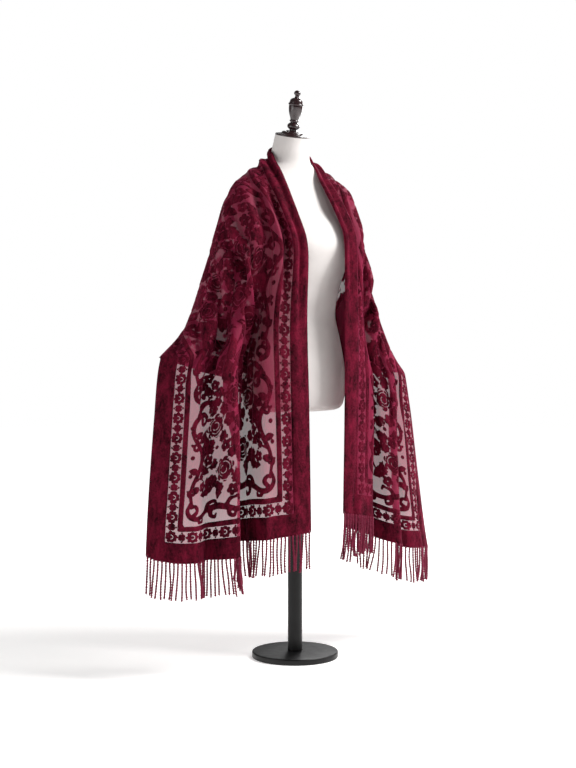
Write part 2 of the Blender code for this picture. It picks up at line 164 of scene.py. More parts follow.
lens = bpy.data.cameras.new("long_lens")
lens.lens = FOCAL_LENGTH
lens.sensor_width = 36.0
lens.shift_x = LENS_SHIFT
camera = bpy.data.objects.new("camera", lens)
camera.location = (CAMERA_DISTANCE * sin(CAMERA_TURN), -CAMERA_DISTANCE * cos(CAMERA_TURN), CAMERA_HEIGHT)
camera.rotation_euler = (pi / 2 - CAMERA_TILT, 0.0, CAMERA_TURN)
bpy.context.scene.collection.objects.link(camera)
bpy.context.scene.camera = camera


# The foot and the pole: a lathe-turned steel disc and tube, sprayed satin black. The disc keeps a
# small rounded arris, the tube drops into it and carries the form.
FOOT_RADIUS = 0.128
FOOT_HEIGHT = 0.018
POLE_RADIUS = 0.0215
FORM_BOTTOM = 0.735
TOUCH_GAP = 0.0003
FOOT_ARRIS = 0.004
UNDER_ARRIS = 0.002
TUBE_ARRIS = 0.001
TUBE_RINGS = 8
ORANGE_PEEL = 0.0016
HANDLED_PATCH = 0.045


def turned(name, profile, material, place=Matrix(), steps=96):
    """A lathe-turned piece: its outline is spun once round Z, closed, then put in its place."""
    bm = bmesh.new()
    outline = [bm.verts.new((radius, 0.0, height)) for radius, height in profile]
    edges = [bm.edges.new(pair) for pair in zip(outline, outline[1:])]
    bmesh.ops.spin(bm, geom=outline + edges, cent=(0, 0, 0), axis=(0, 0, 1), dvec=(0, 0, 0),
                   angle=2 * pi, steps=steps, use_merge=True, use_duplicate=False)
    bmesh.ops.remove_doubles(bm, verts=bm.verts, dist=0.00001)
    bmesh.ops.recalc_face_normals(bm, faces=bm.faces)
    bmesh.ops.transform(bm, matrix=place, verts=bm.verts)
    piece = add_piece(name, bm, material)
    piece.data.set_sharp_from_angle(angle=radians(40))
    return piece


def arc(centre, radius, start, end, count=8):
    """Outline points round a moulding, with angles in degrees from the outward side."""
    angles = np.radians(np.linspace(start, end, count))
    return [(centre[0] + radius[0] * cos(a), centre[1] + radius[1] * sin(a)) for a in angles]


# Sprayed satin enamel: a fine orange peel breaks up the broad soft reflection, and handling has
# polished it unevenly, so its roughness wanders over a few centimetres.
enamel, tree, shader = new_material("satin_black_enamel", {
    "Specular IOR Level": 0.30, "Coat Weight": 0.06, "Coat Roughness": 0.35})
place = add_node(tree, "ShaderNodeTexCoord").outputs["Object"]
peel = add_node(tree, "ShaderNodeTexNoise", {"Vector": place, "Scale": 1 / ORANGE_PEEL, "Detail": 2.0})
handled = add_node(tree, "ShaderNodeTexNoise", {"Vector": place, "Scale": 1 / HANDLED_PATCH, "Detail": 4.0})
worn = add_node(tree, "ShaderNodeMapRange", {"Value": handled.outputs["Fac"], "From Min": 0.3,
                                             "From Max": 0.7, "To Min": 0.34, "To Max": 0.50})
tree.links.new(worn.outputs["Result"], shader.inputs["Roughness"])
soot = add_node(tree, "ShaderNodeMix", {0: handled.outputs["Fac"], 6: to_linear("090809"),
                                        7: to_linear("111011")}, data_type="RGBA")
tree.links.new(soot.outputs[2], shader.inputs["Base Color"])
relief = add_node(tree, "ShaderNodeBump", {"Height": peel.outputs["Fac"], "Strength": 0.25,
                                           "Distance": 0.0002})
tree.links.new(relief.outputs["Normal"], shader.inputs["Normal"])

disc = [(0.0, FOOT_HEIGHT), (FOOT_RADIUS * 0.5, FOOT_HEIGHT)]
disc += arc((FOOT_RADIUS - FOOT_ARRIS, FOOT_HEIGHT - FOOT_ARRIS), (FOOT_ARRIS, FOOT_ARRIS), 90, 0)
disc += arc((FOOT_RADIUS - UNDER_ARRIS, UNDER_ARRIS), (UNDER_ARRIS, UNDER_ARRIS), 0, -90, 5)
disc += [(0.0, 0.0)]
foot = turned("foot_disc", disc, enamel, steps=128)
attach(foot, "root")
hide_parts("stand_foot")

low = FOOT_HEIGHT + TOUCH_GAP
high = FORM_BOTTOM - TOUCH_GAP
tube = [(0.0, high), (POLE_RADIUS - TUBE_ARRIS, high), (POLE_RADIUS, high - TUBE_ARRIS)]
tube += [(POLE_RADIUS, low + (high - low) * k / TUBE_RINGS) for k in range(TUBE_RINGS - 1, 0, -1)]
tube += [(POLE_RADIUS, low + TUBE_ARRIS), (POLE_RADIUS - TUBE_ARRIS, low), (0.0, low)]
pole = turned("pole_tube", tube, enamel, steps=64)
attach(pole, "root")
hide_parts("stand_pole")


# The neck cap and the finial: beech turned on a lathe, stained nearly black and varnished. The cap
# is glued on the leaning top of the neck and the urn-shaped finial is screwed into it.
NECK_TOP = 1.540
NECK_TOP_Y = 0.014
NECK_LEAN = radians(12.5)
CAP_BRIM = 0.0010         # how far the brim reaches below the cap's own zero
GRAIN_WIDTH = 0.0018

# Stained and varnished beech: grain 1 to 2 mm apart shows only as a reddish stir under a clear
# glossy coat with small sharp lights.
beech, tree, shader = new_material("varnished_dark_beech", {
    "Roughness": 0.32, "IOR": 1.5, "Coat Weight": 0.8, "Coat Roughness": 0.08})
place = add_node(tree, "ShaderNodeTexCoord").outputs["Object"]
along_grain = add_node(tree, "ShaderNodeMapping", {"Vector": place, "Scale": (1.0, 1.0, 0.12)})
grain = add_node(tree, "ShaderNodeTexNoise", {"Vector": along_grain.outputs["Vector"],
                                              "Scale": 1 / GRAIN_WIDTH, "Detail": 4.0, "Distortion": 0.6})
stain = add_node(tree, "ShaderNodeMix", {0: grain.outputs["Fac"], 6: to_linear("100606"),
                                         7: to_linear("35161A")}, data_type="RGBA")
tree.links.new(stain.outputs[2], shader.inputs["Base Color"])
pores = add_node(tree, "ShaderNodeBump", {"Height": grain.outputs["Fac"], "Strength": 0.12,
                                          "Distance": 0.0002})
tree.links.new(pores.outputs["Normal"], shader.inputs["Normal"])

on_neck = Matrix.Translation((0.0, NECK_TOP_Y, NECK_TOP)) @ Matrix.Rotation(NECK_LEAN, 4, "X")
on_neck = on_neck @ Matrix.Translation((0.0, 0.0, CAP_BRIM + TOUCH_GAP))

# Outlines from the middle of the top to the middle of the underside, as radius and height.
rim = [(0.0, 0.0149)] + arc((0.0150, 0.0120), (0.0050, 0.0029), 90, 0)
rim += arc((0.0270, 0.0080), (0.0050, 0.0035), 90, 0)
rim += [(0.0335, 0.0062), (0.0380, 0.0052), (0.0440, 0.0040)]
rim += arc((0.0485, 0.0010), (0.0022, 0.0024), 90, -60, 9) + [(0.0480, -CAP_BRIM), (0.0, -CAP_BRIM)]
cap = turned("turned_cap", rim, beech, on_neck)
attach(cap, "root")
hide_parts("neck_cap")

urn = arc((0.0, 0.1240), (0.0100, 0.0085), 90, -50, 10) + [(0.0060, 0.1160), (0.0065, 0.1120)]
urn += arc((0.0, 0.1010), (0.0190, 0.0100), 65, 8) + arc((0.0195, 0.0920), (0.0033, 0.0034), 80, -80, 9)
urn += [(0.0205, 0.0870), (0.0206, 0.0835), (0.0203, 0.0800), (0.0197, 0.0750), (0.0188, 0.0700),
        (0.0175, 0.0650), (0.0158, 0.0600), (0.0142, 0.0560), (0.0128, 0.0520), (0.0115, 0.0475)]
urn += arc((0.0095, 0.0435), (0.0040, 0.0038), 80, -80) + arc((0.0, 0.0280), (0.0185, 0.0118), 55, -55, 12)
urn += [(0.0105, 0.0170), (0.0120, 0.0152), (0.0, 0.0152)]
finial = turned("turned_finial", urn, beech, on_neck)
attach(finial, "root")
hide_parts("neck_finial")


# The dress form: a limbless torso and neck of moulded papier-mache, padded with felt and covered
# with ivory cotton jersey that is stretched smooth over it and stapled underneath.
Ring = namedtuple("Ring", "z half_width front back fullness")
FORM_RINGS = table(Ring, (0.7350, 0.138, -0.078, 0.086, 2.1), (0.7400, 0.150, -0.088, 0.096, 2.1),
                   (0.7550, 0.161, -0.096, 0.105, 2.1), (0.8000, 0.168, -0.101, 0.112, 2.1),
                   (0.8600, 0.164, -0.101, 0.109, 2.1), (0.9400, 0.144, -0.095, 0.084, 2.1),
                   (1.0200, 0.124, -0.087, 0.062, 2.1), (1.0900, 0.134, -0.099, 0.070, 2.1),
                   (1.1600, 0.152, -0.124, 0.088, 2.2), (1.2200, 0.168, -0.141, 0.104, 2.3),
                   (1.2700, 0.180, -0.124, 0.115, 2.3), (1.3200, 0.191, -0.088, 0.119, 2.3),
                   (1.3550, 0.192, -0.067, 0.116, 2.3), (1.3850, 0.1812, -0.049, 0.110, 2.2),
                   (1.4080, 0.1625, -0.036, 0.104, 2.1), (1.4280, 0.130, -0.028, 0.100, 2.0),
                   (1.4460, 0.092, -0.025, 0.096, 2.0), (1.4620, 0.067, -0.026, 0.091, 2.0),
                   (1.4800, 0.0585, -0.0290, 0.086, 2.0), (1.5050, 0.0555, -0.0320, 0.077, 2.0),
                   (NECK_TOP, 0.0500, NECK_TOP_Y - 0.0500, NECK_TOP_Y + 0.0500, 2.0))
FORM_AROUND = 96
FORM_UP = 100
LEAN_STARTS = 1.505       # above this height the neck's level rings tip over to its leaning top
RIB = 0.0016
COURSE = 0.0020
FELT_PATCH = 0.05


def smooth_curve(places, values, wanted):
    """Smooth curve through a short table that never overshoots its rows."""
    places = np.asarray(places, float)
    values = np.asarray(values, float)
    if places[0] > places[-1]:
        places = places[::-1]
        values = values[::-1]
    step = np.diff(places)
    slope = np.diff(values) / step
    weight_a = 2 * step[1:] + step[:-1]
    weight_b = step[1:] + 2 * step[:-1]
    same_way = slope[:-1] * slope[1:] > 0
    low = np.where(same_way, slope[:-1], 1.0)
    high = np.where(same_way, slope[1:], 1.0)
    tangent = np.zeros(len(values))
    tangent[0] = slope[0]
    tangent[-1] = slope[-1]
    tangent[1:-1] = np.where(same_way, (weight_a + weight_b) / (weight_a / low + weight_b / high), 0.0)
    wanted = np.clip(wanted, places[0], places[-1])
    row = np.clip(np.searchsorted(places, wanted) - 1, 0, len(step) - 1)
    t = (wanted - places[row]) / step[row]
    start = values[row] * (1 + 2 * t) * (1 - t) ** 2 + tangent[row] * step[row] * t * (1 - t) ** 2
    end = values[row + 1] * t * t * (3 - 2 * t) + tangent[row + 1] * step[row] * t * t * (t - 1)
    return start + end


def read(rows, column, by, wanted):
    """One column of a table, read at the wanted places of another column."""
    return smooth_curve([getattr(row, by) for row in rows], [getattr(row, column) for row in rows], wanted)


def mapped_grid(points):
    """A grid whose corners are moved onto rows of points."""
    columns = points.shape[0] - 1
    rows = points.shape[1] - 1
    grid = bmesh.new()
    bmesh.ops.create_grid(grid, x_segments=columns, y_segments=rows, size=0.5)
    for vertex in grid.verts:
        vertex.co = points[round((vertex.co.x + 0.5) * columns), round((vertex.co.y + 0.5) * rows)]
    return grid


def wave_scale(spacing):
    """The scale at which a wave texture has its bands this far apart."""
    return 1 / (pi * spacing)


# Cotton jersey: fine ribs of loops about 1 mm apart, drawn at 1.6 by 2 mm so that they still show,
# and a soft matt face with a faint fuzz at the edges.
jersey, tree, shader = new_material("ivory_cotton_jersey", {
    "Roughness": 0.9, "Sheen Weight": 0.25, "Sheen Roughness": 0.6, "Specular IOR Level": 0.3})
place = add_node(tree, "ShaderNodeTexCoord").outputs["Object"]
ribs = add_node(tree, "ShaderNodeTexWave", {"Vector": place, "Scale": wave_scale(RIB), "Distortion": 0.4,
                                            "Detail": 1.0}, wave_type="BANDS", bands_direction="X")
courses = add_node(tree, "ShaderNodeTexWave", {"Vector": place, "Scale": wave_scale(COURSE),
                                               "Distortion": 0.4, "Detail": 1.0},
                   wave_type="BANDS", bands_direction="Z")
loops = add_node(tree, "ShaderNodeMath", {0: ribs.outputs["Fac"], 1: courses.outputs["Fac"]},
                 operation="MULTIPLY")
felt = add_node(tree, "ShaderNodeTexNoise", {"Vector": place, "Scale": 1 / FELT_PATCH, "Detail": 3.0})
ivory = add_node(tree, "ShaderNodeMix", {0: felt.outputs["Fac"], 6: to_linear("DED8D5"),
                                         7: to_linear("ECE7E4")}, data_type="RGBA")
tree.links.new(ivory.outputs[2], shader.inputs["Base Color"])
knit = add_node(tree, "ShaderNodeBump", {"Height": loops.outputs["Value"], "Strength": 0.35,
                                         "Distance": 0.0004})
tree.links.new(knit.outputs["Normal"], shader.inputs["Normal"])

height = np.linspace(0, 1, FORM_UP + 1)
row_heights = np.interp(height, np.linspace(0, 1, len(FORM_RINGS)), [ring.z for ring in FORM_RINGS])
angle = np.linspace(0, 2 * pi, FORM_AROUND + 1)
rings = []
for z in row_heights:
    half_width = read(FORM_RINGS, "half_width", "z", z)
    front = read(FORM_RINGS, "front", "z", z)
    back = read(FORM_RINGS, "back", "z", z)
    power = 2 / read(FORM_RINGS, "fullness", "z", z)
    x = half_width * np.sign(np.cos(angle)) * np.abs(np.cos(angle)) ** power
    y = (front + back) / 2 + (back - front) / 2 * np.sign(np.sin(angle)) * np.abs(np.sin(angle)) ** power
    tipped = np.clip((z - LEAN_STARTS) / (NECK_TOP - LEAN_STARTS), 0, 1)
    rings.append(np.column_stack([x, y, z + tipped * (y - NECK_TOP_Y) * np.tan(NECK_LEAN)]))
rings = np.array(rings)
rings[:, -1] = rings[:, 0]
bm = mapped_grid(rings)
bmesh.ops.remove_doubles(bm, verts=bm.verts, dist=0.00001)
bmesh.ops.holes_fill(bm, edges=bm.edges, sides=0)
bmesh.ops.recalc_face_normals(bm, faces=bm.faces)
form = add_piece("jersey_form", bm, jersey)
form.data.set_sharp_from_angle(angle=radians(50))
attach(form, "root")
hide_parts("form_torso")


# How the stole hangs. One length of cloth, 0.70 by 2.38 m, lies over the back of the neck and the
# shoulders; its ends fall free in front, and its outer edges hang past the arms in deep pleats.
CLOTH_WIDTH = 0.70        # neck edge to outer edge
HALF_LENGTH = 1.19        # centre back to a hem
THREAD_STEP = 0.0025      # the draped cloth is worked out on a grid of this step
THREADS = 70              # lengthwise threads that are laid first
RIGHT = -1                # the wearer's right, at -X
LEFT = 1
SIDE_NAME = {RIGHT: "right", LEFT: "left"}

# The ridge line, from the side of the neck down to the corner where the lower edge turns.
Ridge = namedtuple("Ridge", "z half_width y")
RIDGE = {
    RIGHT: table(Ridge, (1.492, 0.061, 0.030), (1.470, 0.083, 0.030), (1.452, 0.108, 0.030),
                 (1.432, 0.140, 0.030), (1.405, 0.175, 0.030), (1.375, 0.201, 0.030),
                 (1.340, 0.218, 0.030), (1.290, 0.236, 0.030), (1.200, 0.264, 0.030),
                 (1.120, 0.291, 0.028), (1.030, 0.324, 0.026), (0.950, 0.380, 0.024),
                 (0.898, 0.438, 0.022)),
    LEFT: table(Ridge, (1.492, 0.064, 0.030), (1.470, 0.084, 0.030), (1.452, 0.107, 0.030),
                (1.432, 0.139, 0.030), (1.405, 0.174, 0.030), (1.375, 0.1985, 0.030),
                (1.340, 0.206, 0.030), (1.290, 0.216, 0.030), (1.200, 0.238, 0.030),
                (1.120, 0.264, 0.028), (1.030, 0.298, 0.026), (0.940, 0.343, 0.024),
                (0.880, 0.383, 0.022), (0.835, 0.423, 0.022)),
}

# The outer edge where it hangs below that corner.
Edge = namedtuple("Edge", "z half_width y")
OUTER_EDGE = {
    RIGHT: table(Edge, (0.898, 0.438, 0.022), (0.860, 0.448, 0.020), (0.725, 0.466, 0.012),
                 (0.586, 0.482, 0.006), (0.446, 0.496, 0.000), (0.330, 0.505, -0.005)),
    LEFT: table(Edge, (0.835, 0.423, 0.022), (0.790, 0.431, 0.020), (0.687, 0.444, 0.012),
                (0.498, 0.468, 0.004), (0.338, 0.492, 0.000), (0.280, 0.501, -0.004)),
}

# The neck edge, from the side of the neck over the bust and straight down.
NECK_EDGE = {
    RIGHT: table(Edge, (1.492, 0.061, 0.030), (1.459, 0.073, -0.010), (1.418, 0.077, -0.047),
                 (1.359, 0.075, -0.086), (1.301, 0.070, -0.116), (1.230, 0.063, -0.145),
                 (1.173, 0.066, -0.157), (1.059, 0.069, -0.160), (0.775, 0.060, -0.158),
                 (0.395, 0.050, -0.155)),
    LEFT: table(Edge, (1.492, 0.064, 0.030), (1.450, 0.063, -0.004), (1.407, 0.050, -0.050),
                (1.363, 0.052, -0.087), (1.319, 0.057, -0.116), (1.247, 0.070, -0.145),
                (1.175, 0.066, -0.157), (1.059, 0.065, -0.160), (0.775, 0.067, -0.158),
                (0.441, 0.064, -0.155)),
}

# The centre back, from the nape down to the lower edge.
Spine = namedtuple("Spine", "width_share z y")
SPINE = table(Spine, (0.00, 1.515, 0.086), (0.08, 1.460, 0.099), (0.17, 1.400, 0.118),
              (0.27, 1.330, 0.132), (0.46, 1.200, 0.144), (0.74, 1.000, 0.160), (1.00, 0.815, 0.178))

# How high each hem hangs, from the neck edge (0) to the outer edge (1).
Hem = namedtuple("Hem", "width_share z")
HEM = {
    RIGHT: table(Hem, (0.00, 0.395), (0.17, 0.385), (0.36, 0.368), (0.60, 0.338), (0.80, 0.328),
                 (0.93, 0.334), (1.00, 0.346)),
    LEFT: table(Hem, (0.00, 0.441), (0.17, 0.418), (0.40, 0.372), (0.64, 0.328), (0.86, 0.297),
                (1.00, 0.290)),
}

# Fullness of a level section of a front: 1 is a straight line, 2 a quarter of an ellipse.
Fullness = namedtuple("Fullness", "z right left")
FULLNESS = table(Fullness, (0.35, 1.60, 1.30), (0.85, 1.65, 1.40), (1.00, 1.75, 1.60),
                 (1.20, 2.05, 1.90), (1.45, 2.15, 2.10))

# Folds of the fronts. A place is the share of the section from the neck edge, at the shoulder and
# at the hem. Depths are metres inward at the chest, waist and hem; a ridge has a negative depth.
HANGING_LEVELS = [0.35, 1.00, 1.20, 1.36]        # hem, waist, chest, and where a fold starts
COLLAR_LEVELS = [0.85, 1.02, 1.22, 1.43, 1.48]   # end, waist, chest twice, and the shoulder
FLUTE_LEVELS = [0.84, 1.30, 1.42]                # lower edge, shoulder blades, shoulder
BELOW_RIDGE = 0.22                               # a hanging fold is full this far below the ridge
Fold = namedtuple("Fold", "name top_place hem_place half_width chest waist hem")
HANGING_FOLDS = {
    RIGHT: table(Fold, ("border ripple", 0.12, 0.12, 0.034, -0.003, -0.006, -0.008),
                 ("great valley", 0.43, 0.385, 0.024, 0.026, 0.080, 0.112),
                 ("ridge beside it", 0.55, 0.49, 0.026, -0.010, -0.020, -0.022),
                 ("arm valley", 0.68, 0.63, 0.021, 0.020, 0.044, 0.034),
                 ("outer bend", 0.82, 0.80, 0.034, -0.005, -0.010, -0.014)),
    LEFT: table(Fold, ("border ripple", 0.12, 0.12, 0.030, -0.003, -0.005, -0.006),
                ("deep pleat", 0.44, 0.40, 0.023, 0.030, 0.112, 0.150),
                ("ridge beside it", 0.57, 0.53, 0.024, -0.008, -0.014, -0.020),
                ("arm valley", 0.72, 0.66, 0.020, 0.014, 0.030, 0.034),
                ("outer bend", 0.88, 0.86, 0.030, -0.003, -0.006, -0.008)),
}
COLLAR_FOLDS = {
    RIGHT: table(Fold, ("rolled neck edge", 0.08, 0.05, 0.016, -0.007, 0.000, 0.000),
                 ("collar valley", 0.27, 0.16, 0.017, 0.011, 0.003, 0.000),
                 ("second collar valley", 0.52, 0.30, 0.019, 0.010, 0.004, 0.000)),
    LEFT: table(Fold, ("rolled neck edge", 0.08, 0.05, 0.016, -0.007, 0.000, 0.000),
                ("collar valley", 0.30, 0.18, 0.017, 0.010, 0.003, 0.000),
                ("second collar valley", 0.58, 0.34, 0.019, 0.008, 0.003, 0.000)),
}

# Flutes of the back: place from the centre back (0) to the ridge (1), depths outward.
Flute = namedtuple("Flute", "name place half_width blades lower_edge")
FLUTES = {
    RIGHT: table(Flute, ("centre flute", 0.10, 0.045, 0.004, 0.017),
                 ("blade flute", 0.42, 0.050, 0.006, 0.026), ("arm flute", 0.74, 0.045, 0.005, 0.021)),
    LEFT: table(Flute, ("centre hollow", 0.16, 0.040, -0.003, -0.014),
                ("blade flute", 0.40, 0.052, 0.007, 0.028), ("arm flute", 0.78, 0.042, 0.004, 0.017)),
}


def ease(share):
    """Rises softly from 0 to 1."""
    share = np.clip(share, 0.0, 1.0)
    return share * share * (3 - 2 * share)


def hump(distance, half_width):
    """A round swelling, 1 at its middle."""
    return np.exp(-(distance / half_width) ** 2)


def running_length(points):
    """Length of a line up to each of its points."""
    return np.concatenate([[0.0], np.cumsum(np.linalg.norm(np.diff(points, axis=0), axis=1))])


def resample(points, wanted):
    """The points of a line at the wanted running lengths."""
    length = running_length(points)
    return np.stack([np.interp(wanted, length, points[:, k]) for k in range(points.shape[1])], axis=1)


def ridge_line(side):
    """Points of a ridge, from the side of the neck to its corner."""
    z = np.linspace(RIDGE[side][0].z, RIDGE[side][-1].z, 240)
    x = read(RIDGE[side], "half_width", "z", z)
    y = read(RIDGE[side], "y", "z", z)
    return np.stack([x, y, z], axis=1)


def outer_end(side, z):
    """Where a level section ends: on the ridge, or on the outer edge below the corner."""
    edge = RIDGE[side] if z >= RIDGE[side][-1].z else OUTER_EDGE[side]
    return read(edge, "half_width", "z", z), read(edge, "y", "z", z)


def quarter(start, end, fullness, count=240):
    """Quarter of a superellipse in plan, evenly spaced, that leaves `start` along X."""
    angle = np.linspace(0, pi / 2, count)
    x = start[0] + (end[0] - start[0]) * np.sin(angle) ** (2 / fullness)
    y = end[1] + (start[1] - end[1]) * np.cos(angle) ** (2 / fullness)
    points = np.stack([x, y], axis=1)
    length = running_length(points)[-1]
    return resample(points, np.linspace(0, length, count)), length


def sideways(points):
    """Unit normals in plan, on the left of the way that the line runs."""
    along = np.gradient(points, axis=0)
    along /= np.maximum(np.linalg.norm(along, axis=1), 1e-9)[:, None]
    return np.stack([-along[:, 1], along[:, 0]], axis=1)


def front_section(side, z):
    """Level section of a front with its folds, as a plan line on the +X side."""
    start = (read(NECK_EDGE[side], "half_width", "z", z), read(NECK_EDGE[side], "y", "z", z))
    fullness = read(FULLNESS, SIDE_NAME[side], "z", z)
    base, length = quarter(start, outer_end(side, z), fullness)
    share = np.linspace(0, 1, len(base))
    ridge = ridge_line(side)
    ridge_length = running_length(ridge)
    reached = np.interp(-z, -ridge[:, 2], ridge_length)
    drop = np.interp(share * reached, ridge_length, ridge[:, 2]) - z
    under_ridge = ease(drop / BELOW_RIDGE)
    lowered = np.interp(z, [0.35, 1.35], [1.0, 0.0])
    inward = np.zeros(len(base))
    for fold in HANGING_FOLDS[side]:
        place = fold.top_place + (fold.hem_place - fold.top_place) * lowered
        depth = np.interp(z, HANGING_LEVELS, [fold.hem, fold.waist, fold.chest, 0.0])
        inward += depth * under_ridge * hump((share - place) * length, fold.half_width)
    for fold in COLLAR_FOLDS[side]:
        place = fold.top_place + (fold.hem_place - fold.top_place) * ease((1.42 - z) / 0.35)
        depth = np.interp(z, COLLAR_LEVELS, [0.0, fold.waist, fold.chest, fold.chest, 0.0])
        inward += depth * ease((1 - share) / 0.2) * hump((share - place) * length, fold.half_width)
    return base + sideways(base) * inward[:, None], reached / ridge_length[-1]


def back_section(side, z):
    """Level section of half the back with its flutes, from the centre back to the ridge."""
    base, length = quarter((0.0, read(SPINE, "y", "z", z)), outer_end(side, z), 2.0 if z > 1.2 else 1.9)
    share = np.linspace(0, 1, len(base))
    outward = np.zeros(len(base))
    for flute in FLUTES[side]:
        depth = np.interp(z, FLUTE_LEVELS, [flute.lower_edge, flute.blades, 0.0])
        bulge = hump((share - flute.place) * length, flute.half_width)
        outward += depth * ease((1 - share) / 0.15) * ease(share / 0.06) * bulge
    return base + sideways(base) * outward[:, None], 1.0


LOWEST_BACK = 0.80
LOWEST_FRONT = 0.28


class LevelSections:
    """Sections of one stretch at close levels, read between them at any height."""

    def __init__(self, side, make_section, low, high, levels=300, across=160):
        self.heights = np.linspace(low, high, levels)
        self.reached = np.zeros(levels)
        self.plan = np.zeros((levels, across, 2))
        for level, z in enumerate(self.heights):
            line, self.reached[level] = make_section(side, z)
            self.plan[level] = resample(line, np.linspace(0, running_length(line)[-1], across))

    def points(self, width_share, z):
        """Plan points on a front, at a share of the cloth's width and a height."""
        reached = np.maximum(np.interp(z, self.heights, self.reached), 1e-6)
        return self.points_along(np.minimum(width_share / reached, 1.0), z)

    def points_along(self, share, z):
        """Plan points at a share of the section's own length and a height."""
        spacing = self.heights[1] - self.heights[0]
        level = np.clip((z - self.heights[0]) / spacing, 0, len(self.heights) - 1.001)
        column = np.clip(share * (self.plan.shape[1] - 1), 0, self.plan.shape[1] - 1.001)
        i = level.astype(int)
        j = column.astype(int)
        a = (level - i)[:, None]
        b = (column - j)[:, None]
        lower = self.plan[i, j] * (1 - b) + self.plan[i, j + 1] * b
        upper = self.plan[i + 1, j] * (1 - b) + self.plan[i + 1, j + 1] * b
        return lower * (1 - a) + upper * a


def ridge_height(side, width_share):
    """Height at which a thread crosses the ridge."""
    ridge = ridge_line(side)
    length = running_length(ridge)
    return np.interp(width_share * length[-1], length, ridge[:, 2])


def half_of_the_cloth(side):
    """Points of one half: a row of threads from the centre back over the ridge to the hem."""
    back = LevelSections(side, back_section, LOWEST_BACK, SPINE[0].z)
    front = LevelSections(side, front_section, LOWEST_FRONT, RIDGE[side][0].z)
    threads = []
    for width_share in np.linspace(0, 1, THREADS + 1):
        ridge_z = ridge_height(side, width_share)
        share = np.linspace(0, 1, 200)
        middle_z = read(SPINE, "z", "width_share", width_share)
        z = middle_z + (ridge_z - middle_z) * ease(share)
        plan = back.points_along(share, z)
        behind = np.column_stack([side * plan[:, 0], plan[:, 1], z])
        hem_z = read(HEM[side], "z", "width_share", width_share)
        z = ridge_z + (hem_z - ridge_z) * np.linspace(0, 1, 400) ** 2
        plan = front.points(np.full(len(z), width_share), z)
        before = np.column_stack([side * plan[:, 0], plan[:, 1], z])
        thread = np.concatenate([behind, before[1:]])
        steps = round(HALF_LENGTH / THREAD_STEP)
        threads.append(resample(thread, np.linspace(0, running_length(thread)[-1], steps + 1)))
    return np.array(threads)


